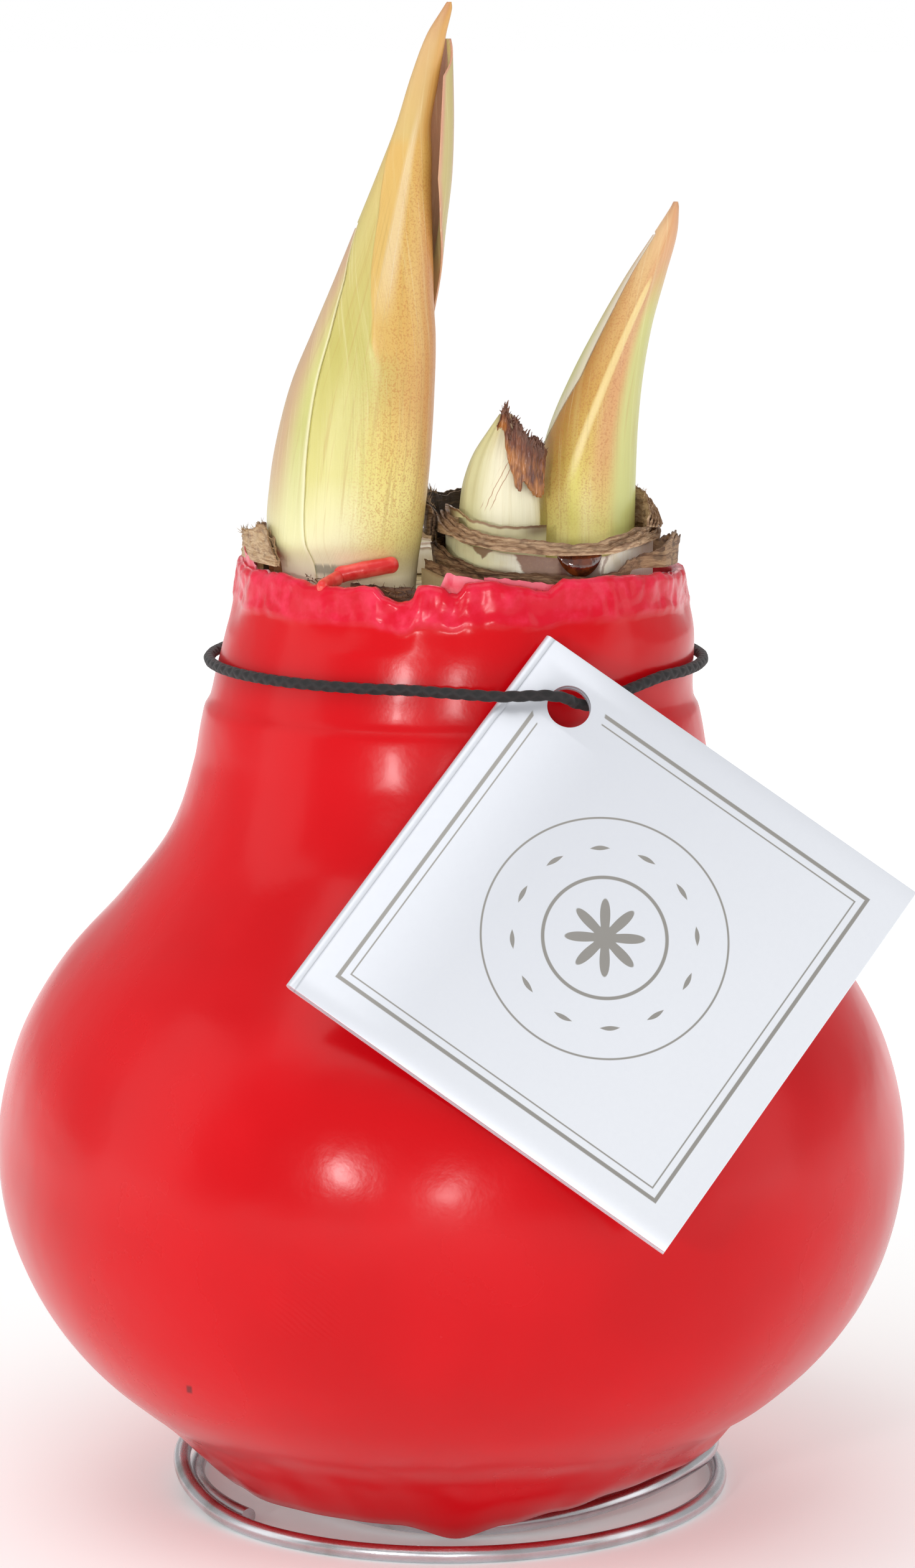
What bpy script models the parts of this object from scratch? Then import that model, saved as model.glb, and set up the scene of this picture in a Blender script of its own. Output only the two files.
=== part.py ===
"""Waxed amaryllis bulb on a wire stand, with a swing tag. Metres, +Z up, front towards -Y."""

import math
import random

import bmesh
import bpy
from mathutils import Vector

MM = 0.001

# Where the bulb's axis stands, so that the origin is the middle of the footprint
AXIS_X = 0.0
AXIS_Y = 1.49
GAP = 0.35

# Wax coat: outer skin as radius and height in millimetres, from the rim down to the hole in the base
WAX_SKIN = [
    (23.4, 99.6), (23.6, 97.6), (23.8, 95.6), (24.5, 92.5), (24.95, 89.0), (25.4, 85.4), (26.0, 84.2),
    (27.0, 78.5), (29.6, 71.0), (34.9, 64.0), (41.2, 57.0), (45.3, 50.0), (47.4, 43.0), (48.0, 36.0),
    (47.0, 29.0), (44.3, 22.0), (40.0, 16.0), (34.5, 11.0), (29.8, 7.2), (27.3, 5.5), (25.0, 4.7),
    (22.0, 4.4), (12.0, 4.4), (1.45, 4.4),
]
WAX_THICK = 1.4
WAX_STEPS = 48
RIM_ROWS = 3
# The neck leans to the right: its middle, and the heights the lean starts and ends at
NECK = (1.0, 0.0)
LEAN_FROM = 84.0
LEAN_TO = 94.0
# Rim height against its nominal height, by direction in degrees (-90 is the front)
RIM_RISE = [
    (-180, 0.2), (-156, -0.2), (-143, 0.2), (-133, -0.2), (-128, 0.2), (-122, -0.2), (-105, 0.1),
    (-98, -1.0), (-92, 0.6), (-84, 0.3), (-74, 0.4), (-61, 0.2), (-45, 0.0), (-30, -0.3), (-10, -0.9),
    (15, -0.8), (45, -0.2), (90, 0.3), (135, 0.5), (160, 0.2), (180, 0.2),
]
# How far the skin sags below the base, by direction, at the lip's radius
LIP_SAG = [
    (-180, 1.0), (-150, 1.9), (-135, 2.3), (-115, 2.3), (-102, 2.4), (-89, 3.7), (-77, 2.4), (-65, 1.4),
    (-50, 0.5), (-35, 0.2), (0, 0.1), (60, 0.5), (100, 0.8), (140, 0.3), (180, 1.0),
]
LIP_RADIUS = 25.2
LIP_SPREAD = 2.6

# Bulb: the fleshy body, a constant gap inside the wax, cut flat under the shoots
BULB_TOP = 96.6
BULB_NECK = 19.8
BULB_STEPS = 36
FOOT = BULB_TOP + GAP

# Wire stand: a prong up the axis, then turns of (degrees, radius, height), from the middle out
WIRE = 1.8
PRONG_TOP = 19.0
PRONG_HOLE = 1.3
WIRE_TURNS = [
    (-450, 2.4, 3.15), (-405, 4.4, 3.15), (-360, 7.0, 3.15), (-270, 12.0, 3.15), (-180, 17.0, 2.9),
    (-125, 20.2, 1.7), (-88, 21.4, 1.2), (-58, 22.3, 1.7), (-38, 23.6, 2.4), (-17, 25.4, 2.9),
    (0, 27.6, 3.1), (15, 28.8, 3.1), (60, 28.9, 3.1), (120, 28.9, 3.1), (165, 28.9, 3.1),
    (185, 29.0, 2.7), (200, 29.1, 1.9), (216, 29.3, 1.1), (232, 29.5, 0.8), (270, 29.6, 0.8),
    (320, 28.9, 0.8), (360, 28.7, 0.8), (450, 28.9, 0.8), (505, 28.5, 0.8), (535, 27.6, 0.8),
    (560, 27.0, 0.8), (578, 26.9, 0.8),
]
WIRE_STEP = 13.0
FLOOR_CUT = 4.0

# Elastic loop: round the neck, over the tag's front on the left and through its hole
ELASTIC = 1.2
ELASTIC_HEIGHT = 89.3
ELASTIC_RADIUS = 25.9
ELASTIC_MIDDLE = (0.5, 0.0)
ELASTIC_LEAVES = -100.0
ELASTIC_RETURNS = -36.0

# Tag: a folded card, its fold along the upper left edge
TAG_SIDE = 45.0
CARD = 0.45
TAG_SLOT = 0.4
TAG_HOLE = 4.4
TAG_HOLE_AT = (6.1, 4.95)
TAG_HOLE_PLACE = (11.7, -27.0, 87.7)
TAG_TILT = 26.0
TAG_TURN = 7.0
TAG_SPIN = 38.0


def start():
    for thing in list(bpy.data.objects):
        bpy.data.objects.remove(thing, do_unlink=True)
    home = bpy.data.collections.new("waxed_amaryllis_bulb")
    bpy.context.scene.collection.children.link(home)
    return home


HOME = start()
CUTTERS = bpy.data.collections.new("cutters")
bpy.context.scene.collection.children.link(CUTTERS)
AXIS = bpy.data.objects.new("bulb_axis", None)
AXIS.location = (AXIS_X * MM, AXIS_Y * MM, 0.0)
HOME.objects.link(AXIS)


def finish(name, colour, roughness, metallic=0.0):
    """A plain material in the piece's main colour."""
    material = bpy.data.materials.new(name)
    material.use_nodes = True
    shader = material.node_tree.nodes["Principled BSDF"]
    shader.inputs["Base Color"].default_value = (*colour, 1.0)
    shader.inputs["Roughness"].default_value = roughness
    shader.inputs["Metallic"].default_value = metallic
    return material


WAX = finish("red_wax", (0.62, 0.012, 0.02), 0.35)
FLESH = finish("pale_flesh", (0.72, 0.68, 0.42), 0.5)
PAPER = finish("dry_paper_scale", (0.35, 0.22, 0.12), 0.8)
DARK = finish("dark_dry_scale", (0.12, 0.05, 0.02), 0.8)
LEAF = finish("green_leaf", (0.55, 0.60, 0.20), 0.4)
GOLD_LEAF = finish("golden_leaf", (0.62, 0.42, 0.14), 0.4)
STEEL = finish("bright_steel", (0.75, 0.75, 0.77), 0.25, 1.0)
BLACK = finish("black_elastic", (0.02, 0.02, 0.02), 0.8)
CARD_SILVER = finish("silver_card", (0.78, 0.79, 0.81), 0.35, 0.3)


def put(name, mesh, material):
    thing = bpy.data.objects.new(name, mesh)
    mesh.materials.clear()
    mesh.materials.append(material)
    thing.parent = AXIS
    HOME.objects.link(thing)
    return thing


def mesh_of(name, points, faces):
    """A mesh from points in millimetres, its faces turned outwards."""
    mesh = bpy.data.meshes.new(name)
    mesh.from_pydata([Vector(p) * MM for p in points], [], faces)
    work = bmesh.new()
    work.from_mesh(mesh)
    bmesh.ops.recalc_face_normals(work, faces=work.faces)
    work.to_mesh(mesh)
    work.free()
    return mesh


def round_off(mesh, degrees=40.0):
    mesh.shade_smooth()
    mesh.set_sharp_from_angle(angle=math.radians(degrees))


def bake(thing):
    """The object as a plain mesh, modifiers and curve caps worked in, the object itself removed."""
    bpy.context.view_layer.update()
    mesh = bpy.data.meshes.new_from_object(thing.evaluated_get(bpy.context.evaluated_depsgraph_get()))
    bpy.data.objects.remove(thing, do_unlink=True)
    work = bmesh.new()
    work.from_mesh(mesh)
    bmesh.ops.remove_doubles(work, verts=work.verts, dist=0.00001)
    work.to_mesh(mesh)
    work.free()
    return mesh


def turned(name, profile, steps):
    """A profile of (radius, height) spun about the axis."""
    mesh = bpy.data.meshes.new(name)
    points = [(r * MM, 0.0, z * MM) for r, z in profile]
    mesh.from_pydata(points, [(i, i + 1) for i in range(len(points) - 1)], [])
    thing = bpy.data.objects.new(name + "_profile", mesh)
    HOME.objects.link(thing)
    spin = thing.modifiers.new("spin", "SCREW")
    spin.steps = steps
    spin.render_steps = steps
    spin.use_merge_vertices = True
    spin.merge_threshold = 0.00001
    return bake(thing)


def blend(table, x):
    """The value at x in a table of (x, value), with smooth passages."""
    for (x0, y0), (x1, y1) in zip(table, table[1:]):
        if x <= x1:
            t = max(0.0, (x - x0) / (x1 - x0))
            return y0 + (y1 - y0) * t * t * (3.0 - 2.0 * t)
    return table[-1][1]


def through(table, x):
    """The row at x in a table of (x, value, ...), joined by straight lines."""
    for a, b in zip(table, table[1:]):
        if x <= b[0]:
            t = max(0.0, (x - a[0]) / (b[0] - a[0]))
            return [p + (q - p) * t for p, q in zip(a[1:], b[1:])]
    return list(table[-1][1:])


def smooth_through(table, x):
    """The row at x on a smooth curve through every row of a table of (x, value, ...)."""
    last = len(table) - 1
    i = next((k for k in range(last) if x <= table[k + 1][0]), last - 1)
    before, a, b, after = table[max(i - 1, 0)], table[i], table[i + 1], table[min(i + 2, last)]
    span = b[0] - a[0]
    t = (x - a[0]) / span
    row = []
    for k in range(1, len(a)):
        slope_a = (b[k] - before[k]) / max(b[0] - before[0], 1e-6) * span
        slope_b = (after[k] - a[k]) / max(after[0] - a[0], 1e-6) * span
        row.append(
            a[k] * (2 * t**3 - 3 * t**2 + 1) + slope_a * (t**3 - 2 * t**2 + t)
            + b[k] * (3 * t**2 - 2 * t**3) + slope_b * (t**3 - t**2)
        )
    return row


def solidify(thing, thickness, offset=-1.0):
    skin = thing.modifiers.new("thickness", "SOLIDIFY")
    skin.thickness = thickness * MM
    skin.offset = offset
    skin.use_even_offset = True


def hump(x, middle, spread):
    return math.exp(-(((x - middle) / spread) ** 2))


def wax_move(x, y, z):
    """Where a point of the turned wax skin really lies: wavy rim, dents below it, sagging lip."""
    radius = math.hypot(x, y)
    way = math.degrees(math.atan2(y, x))
    top = WAX_SKIN[0][1]
    foot = WAX_SKIN[RIM_ROWS][1]
    if z > foot:
        share = (z - foot) / (top - foot)
        ripple = 0.25 * math.sin(math.radians(way * 9.0)) + 0.2 * math.sin(math.radians(way * 16.0 + 40.0))
        z += share * (blend(RIM_RISE, way) + ripple)
        dent = 0.35 * math.sin(math.radians(way * 7.0 + 20.0)) + 0.2 * math.sin(math.radians(way * 13.0))
        radius += math.sin(math.pi * share) * (dent - 0.1)
    if z < 12.0:
        z -= blend(LIP_SAG, way) * hump(radius, LIP_RADIUS, LIP_SPREAD)
    if 8.0 < z < 40.0:
        lean = hump(z, 20.0, 9.0)
        radius += 0.35 * lean * math.sin(math.radians(way * 5.0 + 30.0))
    turn = math.radians(way)
    lean = NECK[0] * blend([(LEAN_FROM, 0.0), (LEAN_TO, 1.0)], z)
    return radius * math.cos(turn) + lean, radius * math.sin(turn), z


def wax_coat():
    mesh = turned("wax_coat", WAX_SKIN, WAX_STEPS)
    for vertex in mesh.vertices:
        vertex.co = Vector(wax_move(*(vertex.co / MM))) * MM
    round_off(mesh)
    solidify(put("wax_coat", mesh, WAX), WAX_THICK)


def inward(profile, distance):
    """The profile moved to its inner side by a distance."""
    moved = []
    for i, (r, z) in enumerate(profile):
        before = profile[max(i - 1, 0)]
        after = profile[min(i + 1, len(profile) - 1)]
        along = Vector((after[0] - before[0], after[1] - before[1])).normalized()
        moved.append((r + along.y * distance, z - along.x * distance))
    return moved


def bulb():
    depth = WAX_THICK + GAP + 0.2
    side = inward(WAX_SKIN, depth)
    side = [(min(r, BULB_NECK) if z > 86.0 else r, z) for r, z in side[RIM_ROWS:-1]]
    side = [(r, z) for r, z in side if z < BULB_TOP - 1.0]
    base = WAX_SKIN[-1][1] + depth
    profile = [(0.0, BULB_TOP), (BULB_NECK - 0.6, BULB_TOP), (BULB_NECK, BULB_TOP - 0.6)] + side
    profile += [(PRONG_HOLE, base), (PRONG_HOLE, PRONG_TOP + GAP + 0.6), (0.0, PRONG_TOP + GAP + 1.2)]
    mesh = turned("bulb", profile, BULB_STEPS)
    round_off(mesh)
    put("bulb", mesh, FLESH)


def tube(name, points, width, sides, material, closed=False):
    """A round wire through points in millimetres."""
    curve = bpy.data.curves.new(name, "CURVE")
    curve.dimensions = "3D"
    curve.bevel_depth = width / 2.0 * MM
    curve.bevel_resolution = sides
    curve.use_fill_caps = not closed
    spline = curve.splines.new("POLY")
    spline.points.add(len(points) - 1)
    for spot, place in zip(spline.points, points):
        spot.co = (*(Vector(place) * MM), 1.0)
    spline.use_cyclic_u = closed
    curve.materials.append(material)
    thing = bpy.data.objects.new(name, curve)
    thing.parent = AXIS
    HOME.objects.link(thing)
    return thing


def polar(centre, radius, degrees, height):
    turn = math.radians(degrees)
    return centre[0] + radius * math.cos(turn), centre[1] + radius * math.sin(turn), height


def wire_stand():
    first, last = WIRE_TURNS[0][0], WIRE_TURNS[-1][0]
    count = round((last - first) / WIRE_STEP)
    points = [(0.0, 0.0, PRONG_TOP), (0.0, 0.0, 8.0), (0.0, 0.0, 5.6), (0.05, -0.35, 4.1), (0.3, -1.3, 3.3)]
    for i in range(count + 1):
        way = first + (last - first) * i / count
        radius, height = smooth_through(WIRE_TURNS, way)
        points.append(polar((0.0, 0.0), radius, way, height))
    stand = put("wire_stand", bake(tube("wire_stand", points, WIRE, 2, STEEL)), STEEL)
    bpy.ops.mesh.primitive_cube_add(size=1.0)
    cut(stand, bpy.context.object, "floor_cutter", (0.0, 0.0, -FLOOR_CUT / 2.0), (90.0, 90.0, FLOOR_CUT))


def cut(thing, cutter, name, place, size=None):
    """Takes a cutter out of a piece; the cutter is kept, hidden, beside the others."""
    cutter.name = name
    for owner in list(cutter.users_collection):
        owner.objects.unlink(cutter)
    CUTTERS.objects.link(cutter)
    cutter.parent = AXIS
    cutter.location = Vector(place) * MM
    if size:
        cutter.scale = Vector(size) * MM
    cutter.hide_render = True
    cutter.display_type = "WIRE"
    work = thing.modifiers.new(name, "BOOLEAN")
    work.operation = "DIFFERENCE"
    work.object = cutter


def tag_frame():
    """The card's corner at the top, its two edge directions and the way its face looks."""
    turn, tilt, spin = (math.radians(v) for v in (TAG_TURN, TAG_TILT, TAG_SPIN))
    level = Vector((math.cos(turn), math.sin(turn), 0.0))
    face = Vector((math.sin(turn) * math.cos(tilt), -math.cos(turn) * math.cos(tilt), math.sin(tilt)))
    down = face.cross(level)
    down = down if down.z < 0.0 else -down
    right = level * math.cos(spin) + down * math.sin(spin)
    left = -level * math.sin(spin) + down * math.cos(spin)
    corner = Vector(TAG_HOLE_PLACE) - right * TAG_HOLE_AT[0] - left * TAG_HOLE_AT[1]
    return corner, right, left, face


def elastic_loop():
    """One closed loop: the neck, a straight run to the card's face, the hole, and back to the neck."""
    _, right, left, face = tag_frame()
    hole = Vector(TAG_HOLE_PLACE)
    sheet = CARD + TAG_SLOT / 2.0
    level = Vector((face.y, -face.x, 0.0)).normalized()
    level = level if level.x > 0.0 else -level
    proud = sheet + ELASTIC / 2.0 + 0.25
    lift = Vector((0.0, 0.0, 0.8))
    over = hole + lift + face * proud - level * 2.6
    thread = [
        over - level * 4.6 - face * 0.15,
        over,
        hole + lift + face * (proud - 0.35) - level * 1.35,
        hole + lift + face * 0.35 - level * 0.2,
        hole + lift - face * (proud - 0.2) + level * 1.0,
        hole + lift - face * (proud + 0.5) + level * 2.3,
    ]
    points = []
    way = ELASTIC_RETURNS
    while way < 360.0 + ELASTIC_LEAVES - 0.1:
        points.append(Vector(polar(ELASTIC_MIDDLE, ELASTIC_RADIUS, way, ELASTIC_HEIGHT)))
        way += (360.0 + ELASTIC_LEAVES - ELASTIC_RETURNS) / 30.0
    points.append(Vector(polar(ELASTIC_MIDDLE, ELASTIC_RADIUS, ELASTIC_LEAVES, ELASTIC_HEIGHT)))
    tube("elastic_loop", points + thread, ELASTIC, 2, BLACK, closed=True)


def tag():
    """Two card leaves joined along the fold, with a hole punched through both."""
    corner, right, left, face = tag_frame()
    half = CARD + TAG_SLOT / 2.0
    bend = half
    outline = []
    for k in range(7):
        turn = math.radians(90.0 + 30.0 * k)
        outline.append((bend + bend * math.cos(turn), half * math.sin(turn)))
    outline.append((TAG_SIDE, -half))
    outline.append((TAG_SIDE, -TAG_SLOT / 2.0))
    for k in range(7):
        turn = math.radians(270.0 - 30.0 * k)
        slot = TAG_SLOT / 2.0
        outline.append((bend + slot * math.cos(turn), slot * math.sin(turn)))
    outline.append((TAG_SIDE, TAG_SLOT / 2.0))
    outline.append((TAG_SIDE, half))
    points = []
    for down in (0.0, TAG_SIDE):
        for across, out in outline:
            points.append(corner + right * across + left * down + face * out)
    n = len(outline)
    faces = [(i, (i + 1) % n, (i + 1) % n + n, i + n) for i in range(n)]
    faces += [tuple(range(n)), tuple(range(n, 2 * n))]
    card = put("tag", mesh_of("tag", points, faces), CARD_SILVER)
    punch(card, Vector(TAG_HOLE_PLACE), face)


def punch(card, place, face):
    """The round hole for the elastic."""
    bpy.ops.mesh.primitive_cylinder_add(vertices=20, radius=TAG_HOLE / 2.0 * MM, depth=8.0 * MM)
    drill = bpy.context.object
    drill.rotation_euler = face.to_track_quat("Z", "Y").to_euler()
    cut(card, drill, "tag_hole_cutter", place)


def loft(name, rings, material):
    """A closed body through rings of equal length."""
    n = len(rings[0])
    points = [p for ring in rings for p in ring]
    faces = []
    for k in range(len(rings) - 1):
        for i in range(n):
            j = (i + 1) % n
            faces.append((k * n + i, k * n + j, (k + 1) * n + j, (k + 1) * n + i))
    faces.append(tuple(range(n)))
    faces.append(tuple(range((len(rings) - 1) * n, len(rings) * n)))
    mesh = mesh_of(name, points, faces)
    round_off(mesh, 50.0)
    return put(name, mesh, material)


# Leaves. Each level of a shoot is (height, left, right, half depth, middle depth) of its oval outline.
TALL_MAIN = [
    (FOOT, -17.3, -3.7, 5.5, -8.2), (100.4, -17.6, -3.4, 5.7, -8.3), (103.0, -18.9, -3.0, 6.5, -8.6),
    (109.0, -18.6, -2.3, 6.4, -8.6),
    (114.0, -17.7, -1.9, 6.1, -8.6), (119.0, -16.3, -1.7, 5.7, -8.6), (124.0, -14.2, -1.9, 5.0, -8.6),
    (129.4, -11.9, -2.3, 4.1, -8.6), (134.5, -9.8, -2.4, 3.2, -8.5), (139.6, -7.7, -2.4, 2.4, -8.4),
    (144.7, -5.7, -2.1, 1.7, -8.2), (149.8, -4.1, -1.2, 1.2, -7.8), (154.0, -2.5, -0.5, 0.8, -7.3),
    (156.6, -0.9, 0.1, 0.4, -6.9), (157.3, -0.45, 0.05, 0.2, -6.8),
]
TALL_LEFT_EDGE = [
    (FOOT, -118.0), (103.0, -120.0), (109.0, -123.0), (114.0, -126.5), (119.0, -130.0), (124.0, -134.0),
    (129.4, -142.0), (134.5, -165.0),
]
TALL_LEFT_BACK = [(FOOT, -262.0), (114.0, -255.0), (124.0, -230.0), (129.4, -206.0), (134.5, -192.0)]
TALL_BACK_FRONT = [(FOOT, 12.0), (119.0, 10.0), (124.0, 8.0), (129.4, 4.0), (134.5, -24.0), (139.6, -42.0),
                   (150.0, -48.0)]
TALL_BACK_END = [(FOOT, 88.0), (119.0, 92.0), (129.4, 105.0), (139.6, 112.0), (150.0, 118.0)]
TALL_BACK = [
    (FOOT, -17.3, -3.7, 5.5, -8.2), (100.4, -17.6, -3.4, 5.7, -8.3), (103.0, -18.9, -3.0, 6.5, -8.6),
    (109.0, -18.6, -2.3, 6.4, -8.6),
    (114.0, -17.7, -1.9, 6.1, -8.6), (119.0, -16.3, -1.7, 5.7, -8.6), (124.0, -14.2, -1.9, 5.0, -8.6),
    (129.4, -13.2, -1.05, 5.4, -8.6), (134.5, -11.7, -0.5, 4.6, -8.5), (139.6, -10.2, 0.1, 3.9, -8.4),
    (144.7, -8.1, 0.3, 3.2, -8.2), (149.8, -5.5, 0.25, 2.5, -7.8), (153.6, -3.4, 0.15, 1.9, -7.3),
]
SHORT_MAIN = [
    (FOOT, 9.2, 18.9, 4.6, -2.0), (103.0, 9.1, 19.1, 4.7, -2.0), (108.6, 9.0, 19.2, 4.6, -2.0),
    (113.8, 10.2, 19.4, 4.3, -2.0), (119.0, 12.4, 19.9, 3.9, -2.0), (124.2, 15.1, 20.8, 3.2, -2.0),
    (129.4, 18.1, 22.2, 2.4, -2.0), (133.5, 20.8, 23.3, 1.6, -2.0), (136.3, 22.6, 23.5, 0.8, -2.0),
    (136.9, 22.9, 23.4, 0.4, -2.0),
]
SHORT_BACK_LEFT = [(FOOT, -190.0), (110.0, -188.0), (114.0, -160.0), (119.0, -140.0), (126.0, -140.0),
                   (134.0, -150.0)]
SHORT_BACK_RIGHT = [(FOOT, -352.0), (119.0, -356.0), (127.0, -340.0), (134.0, -310.0)]
BLADE = 0.9
EDGE = 0.45


def oval(row, degrees, inset):
    """A point on a shoot's oval outline, moved inwards."""
    z, left, right, depth, middle = row
    turn = math.radians(degrees)
    half = (right - left) / 2.0
    return (
        (left + right) / 2.0 + max(half - inset, 0.15) * math.cos(turn),
        middle + max(depth - inset, 0.12) * math.sin(turn),
        z,
    )


def levels(table, top=None):
    rows = [row for row in table if top is None or row[0] < top - 0.2]
    if top is not None:
        rows.append((top, *through(table, top)))
    return rows


def blade(name, table, front, back, top, material, thick=BLADE, count=9):
    """A leaf blade on a shoot's outline between two margins, thick at its middle."""
    rings = []
    for row in levels(table, top):
        start_at, end_at = through(front, row[0])[0], through(back, row[0])[0]
        small = min(1.0, (row[2] - row[1]) / 9.0)
        outer, inner = [], []
        for i in range(count):
            t = i / (count - 1)
            way = start_at + (end_at - start_at) * t
            width = EDGE + (thick * (0.4 + 0.6 * small) - EDGE) * min(1.0, 4.0 * t * (1.0 - t) * 1.6)
            outer.append(oval(row, way, 0.0))
            inner.append(oval(row, way, width))
        rings.append(outer + inner[::-1])
    return loft(name, rings, material)


def covered(row, degrees, edges, thick=BLADE):
    """How far the inner leaf draws in under the outer ones at one direction."""
    small = min(1.0, (row[2] - row[1]) / 9.0)
    deepest = 0.0
    for front, back, top in edges:
        if row[0] > top + 0.1:
            continue
        a, b = through(front, row[0])[0], through(back, row[0])[0]
        lo, hi = min(a, b), max(a, b)
        for way in (degrees, degrees - 360.0, degrees + 360.0):
            slack = 9.0
            if lo - slack <= way <= hi + slack:
                t = min(max((way - lo) / (hi - lo), 0.0), 1.0)
                width = EDGE + (thick * (0.4 + 0.6 * small) - EDGE) * min(1.0, 4.0 * t * (1.0 - t) * 1.6)
                deepest = max(deepest, width + GAP)
    return deepest


def tall_fold(row, degrees):
    """The golden fold of the tall shoot stands proud to the right of its crease, high up only."""
    crease = through([(118.0, -75.0), (123.0, -92.0), (126.0, -96.0), (131.0, -108.0), (136.0, -118.0),
                      (140.0, -135.0), (146.0, -170.0)], row[0])[0]
    rise = blend([(117.0, 0.0), (125.0, 0.35), (131.0, 0.55), (141.0, 0.4), (146.0, 0.0)], row[0])
    return rise if crease + 4.0 < degrees < -4.0 else 0.0


def short_fold(row, degrees):
    """The raised keel of the short shoot."""
    keel = through([(FOOT, -122.0), (104.0, -118.0), (109.5, -108.0), (116.0, -96.0), (127.0, -80.0),
                    (134.0, -75.0)], row[0])[0]
    rise = blend([(103.0, 0.0), (110.0, 0.4), (127.0, 0.45), (134.0, 0.0)], row[0])
    return rise * hump(degrees, keel, 16.0)


def core(name, table, edges, extra, material, count=32):
    """The main leaf of a shoot: its full outline, drawn in where other leaves lie over it."""
    rings = []
    for row in table:
        ring = []
        for i in range(count):
            way = -180.0 + 360.0 * i / count
            ring.append(oval(row, way, covered(row, way, edges) - extra(row, way)))
        rings.append(ring)
    return loft(name, rings, material)


def shoots():
    left_edges = (TALL_LEFT_EDGE, TALL_LEFT_BACK, 134.5)
    core("tall_shoot_main_leaf", TALL_MAIN, [left_edges, (TALL_BACK_FRONT, TALL_BACK_END, 124.0)],
         tall_fold, GOLD_LEAF)
    blade("tall_shoot_left_leaf", TALL_MAIN, TALL_LEFT_EDGE, TALL_LEFT_BACK, 134.5, LEAF)
    blade("tall_shoot_back_leaf", TALL_BACK, TALL_BACK_FRONT, TALL_BACK_END, 153.6, LEAF)
    core("short_shoot_main_leaf", SHORT_MAIN, [(SHORT_BACK_LEFT, SHORT_BACK_RIGHT, 133.5)],
         short_fold, GOLD_LEAF)
    blade("short_shoot_back_leaf", SHORT_MAIN, SHORT_BACK_LEFT, SHORT_BACK_RIGHT, 133.5, LEAF, count=14)


STUB = [
    (FOOT, 1.6, 8.4, 2.9, -5.7), (101.0, 1.3, 8.9, 3.0, -5.7), (104.0, 0.8, 9.2, 3.0, -5.7),
    (106.5, 0.9, 9.1, 2.8, -5.7), (108.7, 1.3, 8.8, 2.5, -5.7), (111.3, 2.3, 8.1, 2.0, -5.7),
    (113.9, 4.0, 7.1, 1.4, -5.7), (115.3, 5.0, 6.2, 0.6, -5.7),
]
DRY_SKIN = [(106.0, 0.9, 8.9, 2.9, -5.7), (110.0, 1.3, 8.7, 2.5, -5.7), (113.0, 2.4, 8.4, 2.2, -5.7),
            (116.5, 3.6, 7.8, 1.8, -5.7)]
SKIN_TOP = [(-100.0, 115.6), (-75.0, 115.8), (-55.0, 114.3), (-35.0, 113.6), (-10.0, 112.8), (12.0, 112.0)]
SKIN_FOOT = [(-100.0, 113.6), (-75.0, 111.5), (-55.0, 108.2), (-35.0, 106.6), (-10.0, 106.3), (12.0, 108.5)]
SKIN_THICK = 0.7


def stub():
    """The cut base of an old leaf, and the torn dry skin down its right side."""
    rings = [[oval(row, 20.0 * i, 0.0) for i in range(18)] for row in STUB]
    loft("leaf_stub", rings, FLESH)
    rng = random.Random(7)
    count, rows = 15, 3
    verts, faces = [], []
    for i in range(count):
        way = SKIN_TOP[0][0] + (SKIN_TOP[-1][0] - SKIN_TOP[0][0]) * i / (count - 1)
        top = blend(SKIN_TOP, way) + rng.uniform(-1.2, 0.4) * (i % 2)
        foot = blend(SKIN_FOOT, way)
        for k in range(rows + 1):
            z = foot + (top - foot) * k / rows
            verts.append(oval((z, *through(DRY_SKIN, z)), way, -(GAP + SKIN_THICK + 0.1 * k)))
    for i in range(count - 1):
        for k in range(rows):
            a = i * (rows + 1) + k
            faces.append((a, a + rows + 1, a + rows + 2, a + 1))
    skin = put("stub_dry_skin", outward(mesh_of("stub_dry_skin", verts, faces)), DARK)
    solidify(skin, SKIN_THICK)


def outward(mesh):
    """An open skin whose faces look away from the middle of its own points."""
    middle = sum((v.co for v in mesh.vertices), Vector()) / len(mesh.vertices)
    facing = sum((f.center - middle).dot(f.normal) * f.area for f in mesh.polygons)
    if facing < 0.0:
        mesh.flip_normals()
    return mesh


def band(name, centre, reach, heights, material, foot=None, thick=0.8, start_at=0.0, end_at=360.0,
         count=40, flare=0.0, rough=0.3, seed=1, rows=2, within=None):
    """A scale: a band round a centre, up to the given heights, flaring out and torn along its top."""
    rng = random.Random(seed)
    closed = abs(end_at - start_at - 360.0) < 0.01
    verts, faces = [], []
    for i in range(count):
        way = start_at + (end_at - start_at) * i / (count if closed else count - 1)
        at = (way + 180.0) % 360.0 - 180.0
        low = blend(foot, at) if foot else FOOT
        top = blend(heights, at) + rng.uniform(-rough, rough)
        radius = blend(reach, at) if isinstance(reach, list) else reach
        for k in range(rows + 1):
            t = k / rows
            wobble = rng.uniform(-0.12, 0.12) if k else 0.0
            x, y, z = polar(centre, radius + flare * t * t + wobble, way, low + (top - low) * t)
            limit = blend(within, at) if within else 99.0
            away = math.hypot(x - NECK[0], y - NECK[1])
            pull = min(1.0, limit / away)
            verts.append((NECK[0] + (x - NECK[0]) * pull, NECK[1] + (y - NECK[1]) * pull, z))
    n = rows + 1
    for i in range(count if closed else count - 1):
        j = (i + 1) % count
        for k in range(rows):
            faces.append((i * n + k, j * n + k, j * n + k + 1, i * n + k + 1))
    skin = put(name, outward(mesh_of(name, verts, faces)), material)
    solidify(skin, thick)


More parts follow.
